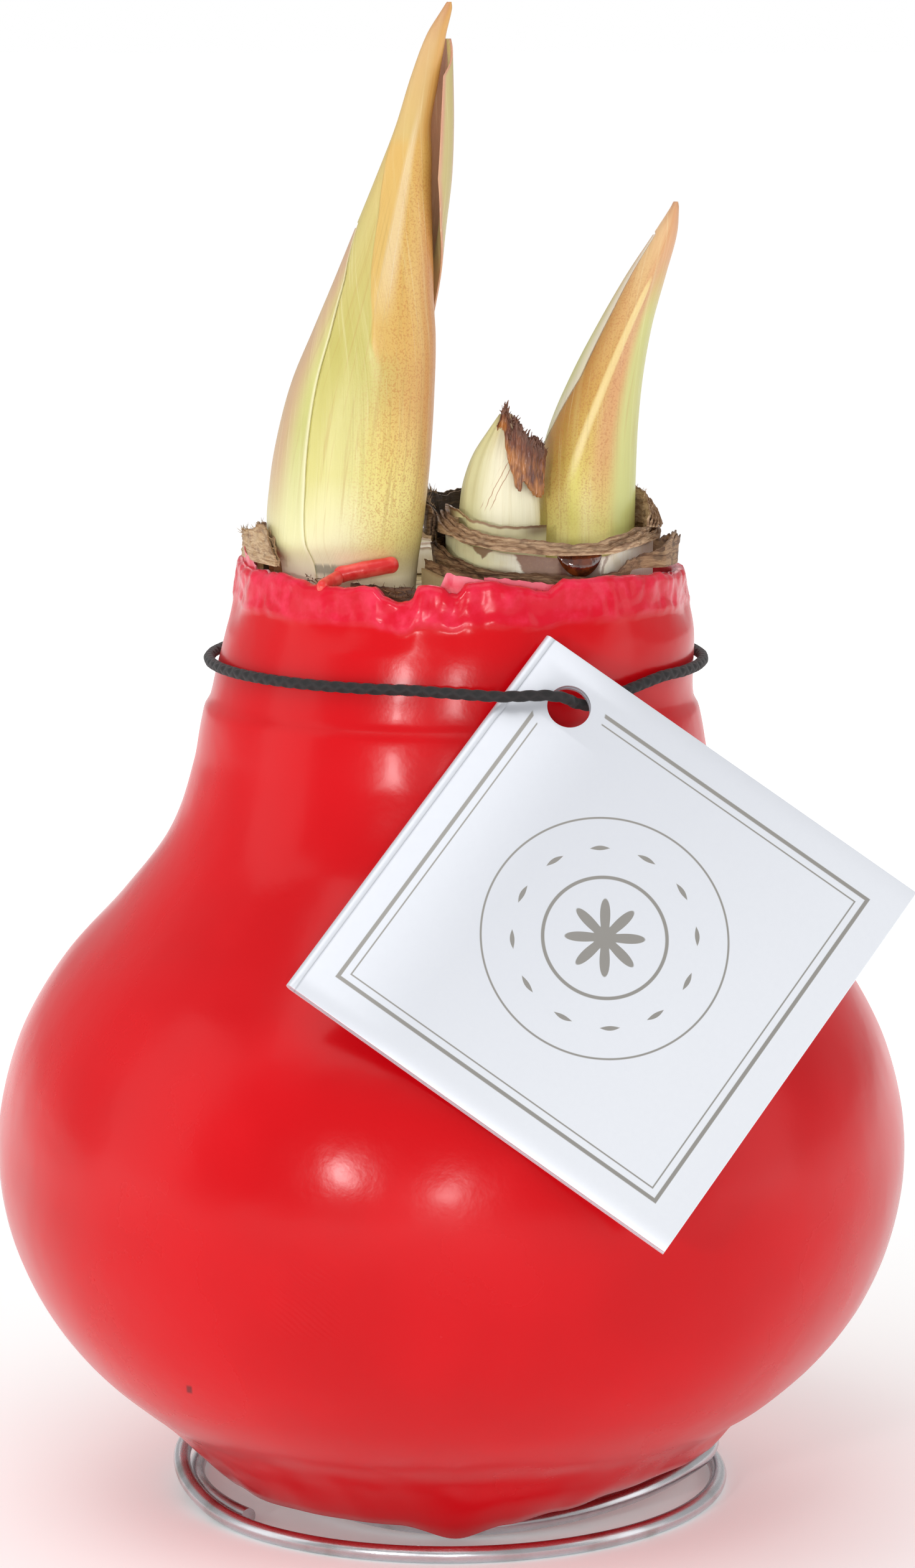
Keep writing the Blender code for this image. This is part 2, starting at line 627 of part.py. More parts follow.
# The scales round the short shoot and the stub share this middle; directions are seen from it
CLUSTER = (10.4, -4.4)
LOWER_REACH = [(-180, 12.2), (-140, 12.3), (-110, 13.1), (90, 13.1), (150, 12.6), (180, 12.2)]
LOWER_TOP = [(-180, 101.9), (-160, 101.9), (-145, 101.0), (-127, 100.2), (-102, 100.0), (-71, 99.6),
             (-56, 99.8), (-42, 100.9), (-32, 101.3), (-20, 102.8), (-8, 102.9), (8, 102.3), (28, 101.6),
             (50, 100.4), (180, 101.9)]
LOWER_FOOT = [(-180, FOOT), (-54, FOOT), (-42, 99.9), (28, 99.9), (42, FOOT), (180, FOOT)]
LOWER_WITHIN = [(-180, 21.35), (-36, 21.35), (-24, 23.2), (20, 23.4), (32, 21.35), (180, 21.35)]
FLESH_WITHIN = [(-180, 20.1), (180, 20.1)]
UPPER_FOOT = [(-180, 103.2), (-150, 103.2), (-138, 102.6), (-110, 102.1), (-85, 101.8), (-60, 101.8),
              (-45, 102.2), (-20, 102.4), (120, 102.6), (180, 103.2)]
UPPER_TOP = [(-180, 104.4), (-160, 104.4), (-140, 103.7), (-124, 103.5), (-100, 103.3), (-80, 102.8),
             (-65, 102.9), (-50, 103.5), (-30, 103.9), (-14, 103.6), (0, 103.4), (90, 103.4),
             (150, 104.2), (180, 104.4)]
FLESH_DROP = 0.45
UPPER_REACH = [(-180, 12.0), (-90, 12.2), (-60, 11.9), (-23, 10.9), (20, 11.6), (90, 12.2), (180, 12.0)]
# The innermost scale clasps the stub; at its left it stands on the upper rim
STUB_MIDDLE = (5.0, -5.7)
INNER_TOP = [(-180, 105.9), (-150, 105.7), (-120, 104.8), (-85, 104.2), (-20, 104.0)]
INNER_FOOT = [(-180, 104.9), (-134, 104.9), (-120, FOOT), (-20, FOOT)]
# A dry curl stands between the round scales and the tall shoot
CURL_MIDDLE = (5.2, -3.8)
CURL_REACH = 8.2
CURL_TOP = [(-180, 107.2), (-165, 106.6), (-148, 105.8), (140, 106.0), (160, 107.2), (180, 107.2)]
CURL_FOOT = [(-180, 102.8), (-160, 102.8), (-152, 105.0), (140, 102.8), (180, 102.8)]
PEAK_TOP = [(-40, 104.7), (-8, 104.8), (8, 105.0), (22, 106.1), (36, 107.0), (75, 105.4)]
PEAK_FOOT = 104.0


def cluster_scales():
    """The cut scales stacked round the short shoot."""
    band("lower_papery_rim", CLUSTER, LOWER_REACH, LOWER_TOP, PAPER, foot=LOWER_FOOT, within=LOWER_WITHIN,
         thick=0.7, flare=0.35, rough=0.22, seed=2)
    flesh_top = [(way, height - FLESH_DROP) for way, height in UPPER_FOOT]
    band("fleshy_scale", CLUSTER, 11.0, flesh_top, FLESH, within=FLESH_WITHIN, rough=0.05, rows=1)
    ledge("upper_papery_rim", CLUSTER, UPPER_REACH, UPPER_TOP, UPPER_FOOT, 1.7, PAPER, 5)
    band("inner_scale", STUB_MIDDLE, 5.1, INNER_TOP, FLESH, foot=INNER_FOOT, thick=0.6, start_at=-180.0,
         end_at=-22.0, count=16, rough=0.12, seed=3)
    band("dry_curl", CURL_MIDDLE, CURL_REACH, CURL_TOP, DARK, foot=CURL_FOOT, thick=0.7, start_at=146.0,
         end_at=210.0, count=14, rough=0.25, seed=4)
    band("dry_scale_right", CLUSTER, 10.6, PEAK_TOP, PAPER, foot=[(-180, PEAK_FOOT), (180, PEAK_FOOT)],
         thick=0.8, start_at=-8.0, end_at=78.0, count=16, rough=0.25, seed=6)


def ledge(name, centre, reach, heights, foot, width, material, seed, count=44):
    """A torn papery edge folded outwards: a flat ring with a wavy upper face."""
    rng = random.Random(seed)
    rings = []
    for k in range(count):
        at = -180.0 + 360.0 * k / count
        outer = blend(reach, at) + rng.uniform(-0.2, 0.2)
        top = blend(heights, at) + rng.uniform(-0.12, 0.12)
        low = blend(foot, at)
        section = [(outer - width, low), (outer - 0.15, low), (outer + 0.1, (low + top) / 2.0),
                   (outer - 0.5, top - 0.15), (outer - width * 0.6, top), (outer - width, top - 0.3)]
        rings.append([polar(centre, r, at, z) for r, z in section])
    n = len(rings[0])
    points = [p for ring in rings for p in ring]
    faces = []
    for k in range(count):
        m = (k + 1) % count
        faces += [(k * n + i, k * n + (i + 1) % n, m * n + (i + 1) % n, m * n + i) for i in range(n)]
    mesh = mesh_of(name, points, faces)
    round_off(mesh, 50.0)
    put(name, mesh, material)


LEFT_TOP = [(26, 98.8), (60, 100.2), (120, 100.6), (150, 101.6), (168, 103.0), (180, 103.0)]
FRONT_TOP = [(-124, 99.2), (-110, 99.0), (-72, 98.4)]
# A crinkled scale folded outwards over the wax rim
CRINKLED_TOP = [(-180, 103.3), (-172, 103.0), (-160, 102.0), (-148, 101.4), (166, 103.4), (180, 103.3)]
CRINKLED_FOOT = 100.5
CRINKLED_REACH = 23.1
PLATE_TOP = [(126, 99.4), (146, 103.0), (160, 104.9), (176, 104.8), (180, 104.4)]


def outer_scales():
    """The dry scales just inside the wax, and the cut layers between them at the back."""
    band("outer_dry_scale", NECK, 21.2, LEFT_TOP, PAPER, thick=0.6, start_at=26.0, end_at=180.0, count=30,
         flare=0.3, rough=0.35, seed=8)
    band("front_dry_scale", NECK, 21.2, FRONT_TOP, PAPER, thick=0.6, start_at=-122.0, end_at=-74.0, count=12,
         rough=0.2, seed=12)
    band("crinkled_scale_left", NECK, CRINKLED_REACH, CRINKLED_TOP, PAPER,
         foot=[(-180, CRINKLED_FOOT), (180, CRINKLED_FOOT)], thick=0.6, start_at=168.0, end_at=214.0, count=14, rough=0.25, seed=13)
    band("brown_scale_left", NECK, 20.1, PLATE_TOP, PAPER, thick=0.7, start_at=128.0, end_at=179.0, count=12,
         rough=0.1, seed=9)
    band("cut_scale_back", NECK, 17.2, [(-180, 99.4), (180, 99.4)], FLESH, thick=1.4, start_at=52.0,
         end_at=150.0, count=16, rough=0.15, seed=10, rows=1)
    band("cut_scale_middle", NECK, 13.4, [(-180, 99.9), (180, 99.9)], FLESH, thick=1.6, start_at=88.0,
         end_at=160.0, count=12, rough=0.15, seed=11, rows=1)


SMEAR = [(-11.9, 99.5), (-11.0, 99.8), (-9.0, 100.2), (-7.0, 100.5), (-5.4, 100.7)]
SMEAR_RADIUS = 0.85


def wax_smear():
    """A sausage of wax that set on the foot of the tall shoot."""
    points = []
    for x, z in SMEAR:
        row = (z, *through(TALL_MAIN, z))
        half = (row[2] - row[1]) / 2.0
        middle = (row[1] + row[2]) / 2.0
        away = SMEAR_RADIUS + GAP + 0.1
        y = row[4] - (row[3] + away) * math.sqrt(max(0.0, 1.0 - ((x - middle) / (half + away)) ** 2))
        points.append((x, y, z))
    curve = tube("wax_smear", points, 2.0 * SMEAR_RADIUS, 3, WAX).data
    for spot, size in zip(curve.splines[0].points, (0.45, 0.85, 1.0, 1.0, 0.6)):
        spot.radius = size


def main():
    wax_coat()
    bulb()
    wire_stand()
    elastic_loop()
    tag()
    shoots()
    stub()
    cluster_scales()
    outer_scales()
    wax_smear()


main()
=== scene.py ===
import math
import random

import bpy
import numpy as np
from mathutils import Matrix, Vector, noise


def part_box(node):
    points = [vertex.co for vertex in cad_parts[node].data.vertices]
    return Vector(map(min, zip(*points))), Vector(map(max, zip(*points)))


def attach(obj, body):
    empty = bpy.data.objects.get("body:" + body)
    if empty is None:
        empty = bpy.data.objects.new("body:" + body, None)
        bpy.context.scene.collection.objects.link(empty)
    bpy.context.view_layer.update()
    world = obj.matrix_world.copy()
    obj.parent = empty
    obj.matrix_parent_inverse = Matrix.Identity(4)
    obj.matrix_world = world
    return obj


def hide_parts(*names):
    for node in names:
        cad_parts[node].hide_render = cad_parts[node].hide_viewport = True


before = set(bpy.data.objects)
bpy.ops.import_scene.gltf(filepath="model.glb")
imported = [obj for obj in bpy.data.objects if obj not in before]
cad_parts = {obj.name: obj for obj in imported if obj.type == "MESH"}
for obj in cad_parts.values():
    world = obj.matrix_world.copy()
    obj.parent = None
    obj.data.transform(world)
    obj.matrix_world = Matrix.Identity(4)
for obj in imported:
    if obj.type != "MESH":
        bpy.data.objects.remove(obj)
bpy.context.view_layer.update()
print("frame loaded")

mm = 0.001
bulbLow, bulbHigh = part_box("bulb")
axis = (bulbLow + bulbHigh) / 2.0 / mm  # the bulb's own axis, in millimetres
axis.z = 0.0


# Camera and light

# the photograph: height 2520, the bulb's axis 10 px left of its middle
photo = {"focalPx": 8182.0, "heightPx": 2520.0, "away": 530.0, "above": 161.0, "pitch": 9.14, "aside": 0.65}


def makeCamera():
    data = bpy.data.cameras.new("camera")
    data.sensor_fit = "VERTICAL"
    data.sensor_height = 36.0
    data.lens = 36.0 * photo["focalPx"] / photo["heightPx"]
    data.clip_start = 0.01
    camera = bpy.data.objects.new("camera", data)
    camera.location = Vector((axis.x + photo["aside"], axis.y - photo["away"], photo["above"])) * mm
    camera.rotation_euler = (math.radians(90.0 - photo["pitch"]), 0.0, 0.0)
    bpy.context.scene.collection.objects.link(camera)
    bpy.context.scene.camera = camera


def makeLight(name, place, aim, width, height, power):
    data = bpy.data.lights.new(name, "AREA")
    data.shape = "RECTANGLE"
    data.size = width * mm
    data.size_y = height * mm
    data.energy = power
    lamp = bpy.data.objects.new(name, data)
    lamp.location = Vector(place) * mm
    lamp.rotation_euler = (Vector(aim) - Vector(place)).to_track_quat("-Z", "Y").to_euler()
    bpy.context.scene.collection.objects.link(lamp)


makeCamera()
bpy.context.scene.view_settings.view_transform = "Standard"
world = bpy.data.worlds.new("studio")
world.use_nodes = True
backdrop = world.node_tree.nodes["Background"]
backdrop.inputs["Color"].default_value = (1.0, 1.0, 1.0, 1.0)
seen = world.node_tree.nodes.new("ShaderNodeLightPath")
level = world.node_tree.nodes.new("ShaderNodeMapRange")
level.inputs["To Min"].default_value = 0.5  # as light
level.inputs["To Max"].default_value = 1.0  # as backdrop
world.node_tree.links.new(seen.outputs["Is Camera Ray"], level.inputs["Value"])
world.node_tree.links.new(level.outputs["Result"], backdrop.inputs["Strength"])
bpy.context.scene.world = world
makeLight("topBox", (-120, -230, 640), (0, 0, 60), 560, 460, 1.22)
makeLight("leftBox", (-540, -90, 230), (0, 0, 70), 300, 520, 0.45)
makeLight("rightBox", (540, -110, 240), (0, 0, 80), 300, 520, 0.5)
makeLight("backBox", (0, 560, 420), (0, 0, 80), 520, 300, 0.8)
makeLight("frontLeftSpot", (-300, -623, 180), (-6, -46, 46), 50, 50, 0.8)  # the two gleams on the belly
makeLight("frontSpot", (0, -704, 120), (0, -46, 46), 60, 50, 0.55)


# Materials

def rgb(red, green, blue):  # 0 to 255 as seen, to the linear values Blender wants
    return tuple((v / 12.92 if v <= 0.04045 else ((v + 0.055) / 1.055) ** 2.4)
                 for v in (red / 255.0, green / 255.0, blue / 255.0)) + (1.0,)


class Value:
    def __init__(self, finish, socket):
        self.finish = finish
        self.socket = socket

    def __add__(self, other):
        return self.finish.maths("ADD", self, other)

    def __radd__(self, other):
        return self.finish.maths("ADD", other, self)

    def __sub__(self, other):
        return self.finish.maths("SUBTRACT", self, other)

    def __rsub__(self, other):
        return self.finish.maths("SUBTRACT", other, self)

    def __mul__(self, other):
        return self.finish.maths("MULTIPLY", self, other)

    def __rmul__(self, other):
        return self.finish.maths("MULTIPLY", other, self)

    def __truediv__(self, other):
        return self.finish.maths("DIVIDE", self, other)

    def __rtruediv__(self, other):
        return self.finish.maths("DIVIDE", other, self)

    def __pow__(self, other):
        return self.finish.maths("POWER", self, other)

    def __abs__(self):
        return self.finish.maths("ABSOLUTE", self)

    def sine(self):
        return self.finish.maths("SINE", self)


class Finish:
    def __init__(self, name, **fixed):
        self.material = bpy.data.materials.new(name)
        self.material.use_nodes = True
        self.tree = self.material.node_tree
        self.shader = self.tree.nodes["Principled BSDF"]
        for label, value in fixed.items():  # roughness=0.3 sets the socket named Roughness
            self.shader.inputs[label.replace("_", " ").title().replace("Ior", "IOR")].default_value = value

    def node(self, kind, settings=None, values=None, out=0):
        made = self.tree.nodes.new(kind)
        for label, value in (settings or {}).items():
            if label == "stops":
                self.setStops(made.color_ramp, value)
            else:
                setattr(made, label, value)
        for label, value in (values or {}).items():
            self.join(value, made.inputs[label])
        return Value(self, made.outputs[out])

    def setStops(self, ramp, stops):
        while len(ramp.elements) < len(stops):
            ramp.elements.new(0.5)
        for element, (place, colour) in zip(ramp.elements, stops):
            element.position = place
            element.color = colour

    def join(self, value, socket):
        if isinstance(value, Value):
            self.tree.links.new(value.socket, socket)
        else:
            socket.default_value = value

    def drive(self, **inputs):  # base_color=..., roughness=...
        for label, value in inputs.items():
            self.join(value, self.shader.inputs[label.replace("_", " ").title()])

    def field(self, name):  # a number carried by the mesh
        return self.node("ShaderNodeAttribute", {"attribute_name": name}, out="Fac")

    def place(self):
        return self.node("ShaderNodeTexCoord", out="Object")

    def coordinates(self):  # millimetres from the bulb's axis
        point = self.place()
        parts = [self.node("ShaderNodeSeparateXYZ", values={0: point}, out=k) for k in range(3)]
        return [part / mm - offset for part, offset in zip(parts, axis)]

    def point(self, x, y, z=0.0):
        return self.node("ShaderNodeCombineXYZ", values={0: x, 1: y, 2: z})

    def cloud(self, size, vector=None, detail=3.0, rough=0.5, warp=0.0):  # size in the vector's own unit
        values = {"Scale": 1.0 / size, "Detail": detail, "Roughness": rough, "Distortion": warp,
                  "Vector": vector or self.place()}
        return self.node("ShaderNodeTexNoise", values=values, out="Fac")

    def step(self, value, low, high):
        return self.node("ShaderNodeMapRange", {"interpolation_type": "SMOOTHSTEP"},
                         {"Value": value, "From Min": low, "From Max": high})

    def between(self, value, low, high, soft):
        return self.step(value, low - soft, low + soft) * (1.0 - self.step(value, high - soft, high + soft))

    def ramp(self, value, stops):
        return self.node("ShaderNodeValToRGB", {"stops": stops}, {"Fac": value}, out="Color")

    def mix(self, share, first, second):
        return self.node("ShaderNodeMix", {"data_type": "RGBA"}, {0: share, 6: first, 7: second}, out=2)

    def maths(self, kind, *inputs):
        return self.node("ShaderNodeMath", {"operation": kind}, dict(enumerate(inputs)))

    def relief(self, height, depth, under=None):
        values = {"Height": height, "Distance": depth * mm, "Strength": 1.0}
        if under:
            values["Normal"] = under
        return self.node("ShaderNodeBump", values=values)


# Shared modelling tools

def blend(table, x):  # smooth passages through a table of (x, value)
    for (x0, y0), (x1, y1) in zip(table, table[1:]):
        if x <= x1:
            t = max(0.0, (x - x0) / (x1 - x0))
            return y0 + (y1 - y0) * t * t * (3.0 - 2.0 * t)
    return table[-1][1]


def rowAt(table, x):  # a smooth curve through every row of a table of (x, value, ...)
    last = len(table) - 1
    i = next((k for k in range(last) if x <= table[k + 1][0]), last - 1)
    before, a, b, after = table[max(i - 1, 0)], table[i], table[i + 1], table[min(i + 2, last)]
    span = b[0] - a[0]
    t = min(max((x - a[0]) / span, 0.0), 1.0)
    row = []
    for k in range(1, len(a)):
        slopeA = (b[k] - before[k]) / (b[0] - before[0]) * span
        slopeB = (after[k] - a[k]) / (after[0] - a[0]) * span
        row.append(a[k] * (2 * t**3 - 3 * t**2 + 1) + slopeA * (t**3 - 2 * t**2 + t)
                   + b[k] * (3 * t**2 - 2 * t**3) + slopeB * (t**3 - t**2))
    return row


def straight(table, x):
    for (x0, y0), (x1, y1) in zip(table, table[1:]):
        if x <= x1:
            return y0 + (y1 - y0) * max(0.0, (x - x0) / (x1 - x0))
    return table[-1][1]


def hump(x, middle, spread):
    return math.exp(-(((x - middle) / spread) ** 2))


def wander(x, y, z, size, octaves=3):  # smooth noise, about -1 to 1, size in millimetres
    return noise.fractal(Vector((x, y, z)) / size, 1.0, 2.0, octaves, noise_basis="PERLIN_ORIGINAL")


def polar(centre, radius, degrees, height):
    turn = math.radians(degrees)
    return (centre[0] + radius * math.cos(turn), centre[1] + radius * math.sin(turn), height)


def makePiece(name, mesh, finish, nodes):
    mesh.materials.append(finish.material)
    piece = bpy.data.objects.new(name, mesh)
    bpy.context.scene.collection.objects.link(piece)
    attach(piece, "root")
    if nodes:
        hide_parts(*nodes)
    return piece


def joinGrids(name, grids, sharp=50.0, around=True):
    # one mesh from grids of points about the bulb's axis, in millimetres, with numbers carried by each point;
    # around joins each row's end to its start, and a grid that loops joins its last row to its first
    points, faces, carried = [], [], {}
    for rows, fields, loop in grids:
        rows = np.asarray(rows, float)
        n, m = rows.shape[:2]
        base, own = len(points), (rows.reshape(-1, 3) + np.array(axis)) * mm
        k, i = np.meshgrid(np.arange(n if loop else n - 1), np.arange(m if around else m - 1), indexing="ij")
        j, l = (i + 1) % m, (k + 1) % n
        quads = np.stack([k * m + i, k * m + j, l * m + j, l * m + i], -1).reshape(-1, 4)
        made = quads.tolist()
        if around and not loop:
            made += [list(range(m))[::-1], list(range((n - 1) * m, n * m))]
        if around and signedVolume(own, quads) < 0.0:
            made = [face[::-1] for face in made]
        points += own.tolist()
        faces += [[v + base for v in face] for face in made]
        for label, values in fields.items():
            carried.setdefault(label, []).append(np.asarray(values, np.float32).ravel())
    mesh = bpy.data.meshes.new(name)
    mesh.from_pydata(points, [], faces)
    for label, values in carried.items():
        mesh.attributes.new(label, "FLOAT", "POINT").data.foreach_set("value", np.concatenate(values))
    mesh.shade_smooth()
    mesh.set_sharp_from_angle(angle=math.radians(sharp))
    return mesh


def gridMesh(name, rows, fields, around=True, loop=False, sharp=50.0):
    return joinGrids(name, [(rows, fields, loop)], sharp, around)


def signedVolume(points, quads):
    a, b, c, d = (points[quads[:, k]] for k in range(4))
    return float(np.sum(a * np.cross(b, c)) + np.sum(a * np.cross(c, d)))


def tubeMesh(name, path, radius, sides, swell=None):
    # a round rod along points; swell(run, angle) changes its radius
    path = [Vector(p) for p in path]
    rows, along, angles = [], [], []
    normal = Vector((0.0, 0.0, 1.0))
    run = 0.0
    for k, middle in enumerate(path):
        ahead = (path[min(k + 1, len(path) - 1)] - path[max(k - 1, 0)]).normalized()
        if abs(ahead.dot(normal)) > 0.99:
            normal = Vector((1.0, 0.0, 0.0))
        normal = (normal - ahead * normal.dot(ahead)).normalized()
        side = ahead.cross(normal)
        run += (middle - path[k - 1]).length if k else 0.0
        ring = []
        for i in range(sides):
            angle = 2.0 * math.pi * i / sides
            size = radius * (swell(run, angle) if swell else 1.0)
            ring.append(tuple(middle + (normal * math.cos(angle) + side * math.sin(angle)) * size))
        rows.append(ring)
        along.append([run] * sides)
        angles.append([2.0 * math.pi * i / sides for i in range(sides)])
    return gridMesh(name, rows, {"along": along, "angle": angles}, around=True)


print("tools ready")


# Wax coat: a hand-dipped skin, wavy at its rim and with set drips below

wax = {
    "columns": 360,
    "thick": 1.4,
    "neckLean": 1.0, "leanFrom": 84.0, "leanTo": 94.0,
    "lipRadius": 25.2, "lipSpread": 2.6,
    "skin": [(23.4, 99.6), (23.6, 97.6), (23.8, 95.6), (24.5, 92.5), (24.95, 89.0), (25.4, 85.4),
             (26.0, 84.2), (27.0, 78.5), (29.6, 71.0), (34.9, 64.0), (41.2, 57.0), (45.3, 50.0),
             (47.4, 43.0), (48.0, 36.0), (47.0, 29.0), (44.3, 22.0), (40.0, 16.0), (34.5, 11.0),
             (29.8, 7.2), (27.3, 5.5), (25.0, 4.7), (22.0, 4.4), (12.0, 4.4), (1.45, 4.4)],
    "rimTop": [(-180, 99.8), (-160, 99.5), (-149, 99.6), (-139, 99.65), (-134.7, 99.4), (-131, 99.0),
               (-126, 98.9),
               (-120, 99.0), (-114.6, 99.3), (-111.6, 99.4), (-110.2, 98.5), (-105.6, 97.9), (-102.4, 98.0),
               (-101.2, 99.4), (-99, 99.65), (-94.7, 99.4), (-92.8, 98.8), (-90.6, 98.7), (-89.3, 99.7),
               (-87, 99.9),
               (-81.7, 100.0), (-77, 99.6), (-73, 99.25), (-71, 98.8), (-67.3, 98.7), (-65.3, 99.4),
               (-63, 100.0),
               (-56.7, 99.75), (-47.8, 99.8), (-40.9, 99.65), (-29.5, 99.5), (-15.9, 98.95), (15, 98.8),
               (45, 99.4),
               (90, 99.9), (135, 100.1), (160, 99.8), (180, 99.8)],
    "lipSag": [(-180, 1.0), (-150, 1.9), (-135, 2.3), (-115, 2.3), (-102, 2.4), (-89, 3.7), (-77, 2.4),
               (-65, 1.4), (-50, 0.5), (-35, 0.2), (0, 0.1), (60, 0.5), (100, 0.9), (140, 0.3), (180, 1.0)],
    "rimFrom": 92.5,
    "ridges": {"x": (-17.5, -11.0), "z": (28.0, 35.5), "soft": 1.6},
    "scratch": {"x": -26.3, "z": 19.6},
}


def smoothLine(points, count, crowd=None):
    # count points on a smooth curve through the given ones; crowd(t) packs them where detail is wanted
    points = [np.array(p, float) for p in points]
    runs = [0.0]
    for a, b in zip(points, points[1:]):
        runs.append(runs[-1] + float(np.linalg.norm(b - a)))
    table = [(r, *p) for r, p in zip(runs, points)]
    line = []
    for k in range(count):
        t = k / (count - 1)
        line.append(rowAt(table, runs[-1] * (crowd(t) if crowd else t)))
    return line


def waxMove(r, way, z, outer):
    rise = 0.0
    if z > wax["rimFrom"]:
        share = min((z - wax["rimFrom"]) / (wax["skin"][0][1] - wax["rimFrom"]), 1.0)
        rise = share * (blend(wax["rimTop"], way) - wax["skin"][0][1])
        dent = 0.3 * math.sin(math.radians(way * 7.0 + 20.0)) + 0.15 * math.sin(math.radians(way * 13.0))
        r += math.sin(math.pi * share) * (dent - 0.1)
    if z < 14.0:
        fold = 0.6 + 0.4 * math.sin(math.radians(way * 4.0 + 10.0)) * math.sin(math.radians(way * 3.0))
        r += fold * (0.55 * hump(z, 6.0, 1.1) - 0.75 * hump(z, 9.3, 1.5))
        rise -= blend(wax["lipSag"], way) * hump(r, wax["lipRadius"], wax["lipSpread"])
    if 8.0 < z < 40.0:
        r += 0.35 * hump(z, 20.0, 9.0) * math.sin(math.radians(way * 5.0 + 30.0))
    lean = wax["neckLean"] * blend([(wax["leanFrom"], 0.0), (wax["leanTo"], 1.0)], z)
    x, y, _ = polar((0.0, 0.0), r, way, z)
    if outer:
        push = 0.10 * wander(x, y, z, 16.0, 2) + 0.03 * wander(x, y, z, 5.0, 2)
        nearRim = blend([(94.2, 0.0), (97.2, 1.0)], z)
        band = blend([(95.2, 0.0), (96.1, 1.0)], z + 0.9 * wander(x, y, 0.0, 5.0, 2))
        push += 0.10 * band + 0.16 * band * wander(way * 0.16, z * 0.25, 1.0, 0.55, 2)
        push += nearRim * (0.15 * wander(x, y, z * 0.9, 3.4, 3) + 0.05 * wander(x, y, z, 1.1, 2))
        push += 0.12 * hump(z + 0.5 * wander(x, y, 0.0, 4.0, 2), 95.9, 0.35)
        push -= 0.10 * (1.0 - blend([(84.1, 0.0), (84.5, 1.0)], z + 0.8 * wander(x, y, 0.0, 9.0, 2))) * \
            blend([(80.0, -1.0), (84.5, 0.0)], z)
        lowPart = 1.0 - blend([(6.0, 0.0), (16.0, 1.0)], z)
        push += lowPart * 0.25 * wander(x, y, z, 6.0, 2)
        rise += nearRim * 0.20 * wander(x, y, 3.0, 1.3, 3)
        x, y, _ = polar((0.0, 0.0), r + push, way, z)
    return x + lean, y, z + rise


def makeWaxMesh():
    t = wax["thick"]
    skin = wax["skin"]
    outside = smoothLine(skin, 176, lambda s: s * (0.42 + 0.58 * s))
    outside = [(r, z) for r, z in outside if z < 99.0 or r > 30.0]
    lip = [(skin[0][0] - t, 98.6), (skin[0][0] - t + 0.1, 99.2), (skin[0][0] - t * 0.62, 99.58),
           (skin[0][0] - t * 0.35, 99.6), (skin[0][0] - 0.12, 99.35)]
    inside = [(skin[0][0] - t, z) for z in (97.4, 96.0, 94.4)] + [(23.0, 92.0), (23.4, 89.0), (24.0, 85.4)]
    inside += [(24.6, 82.0), (25.6, 78.5), (28.3, 71.0), (33.7, 63.2), (40.0, 56.0), (44.0, 49.4),
               (46.0, 42.7), (46.6, 36.0), (45.6, 29.3), (43.0, 22.7), (38.9, 17.0), (33.6, 12.2),
               (29.0, 8.5), (26.0, 6.9), (22.0, 5.8), (12.0, 5.8), (1.5, 5.8)]
    profile = inside[::-1] + lip + outside
    outerFrom = len(inside) + 2
    columns = wax["columns"]
    rows, heights = [], []
    for k, (r, z) in enumerate(profile):
        ring = [waxMove(r, -180.0 + 360.0 * i / columns, z, k >= outerFrom) for i in range(columns)]
        rows.append(ring)
        heights.append([z] * columns)
    return gridMesh("waxCoat", rows, {"rise": heights}, loop=True, sharp=60.0)


def waxFinish():
    f = Finish("redWax", coat_weight=0.04, coat_roughness=0.12, specular_ior_level=0.22, sheen_weight=0.07,
               sheen_roughness=0.35, sheen_tint=(1.0, 0.78, 0.8, 1.0))
    rise = f.field("rise")
    patch = f.cloud(0.022, detail=2.0)
    fine = f.cloud(0.0035, detail=4.0, rough=0.6)
    deep = f.mix(f.step(patch, 0.35, 0.7), rgb(200, 2, 13), rgb(211, 5, 18))
    band = f.step(rise + patch * 1.2, 95.6, 96.8)
    rim = f.mix(f.step(fine, 0.4, 0.7), rgb(210, 16, 44), rgb(232, 52, 84))
    red = f.mix(band * 0.8, deep, rim)
    # painted shade: the wax is drawn darker towards the bottom, fading out by about 20 mm up
    red = f.mix((1.0 - f.step(rise, 4.0, 20.0)) * 0.3, red, rgb(190, 10, 24))
    # handling marks: finger ridges low on the front left, and one dark scratch below them
    x, y, z = f.coordinates()
    facing = 1.0 - f.step(y, -20.0, -10.0)
    where, nick = wax["ridges"], wax["scratch"]
    ridges = f.between(x, *where["x"], where["soft"]) * f.between(z, *where["z"], where["soft"]) * facing
    whorl = ((x * 0.62 + z * 0.78) * 11.5 + f.cloud(0.004, detail=2.0) * 9.0).sine()
    scratch = (1.0 - f.step(abs(x - nick["x"]), 0.15, 0.4)) * (1.0 - f.step(abs(z - nick["z"]), 0.25, 0.7))
    red = f.mix(scratch * facing * 0.8, red, rgb(92, 8, 16))
    f.drive(base_color=red, roughness=0.19 + 0.10 * f.step(patch, 0.4, 0.8) + 0.05 * fine)
    dents = f.relief(f.cloud(0.011, detail=2.0), 0.06)
    f.drive(normal=f.relief(fine + ridges * whorl * 0.35, 0.04, dents))
    return f


makePiece("waxCoat", makeWaxMesh(), waxFinish(), ["wax_coat"])
print("wax done")


# Leaves: every leaf of a shoot lies on the shoot's oval outline
# an outline row is (height, left, right, half depth, middle depth)

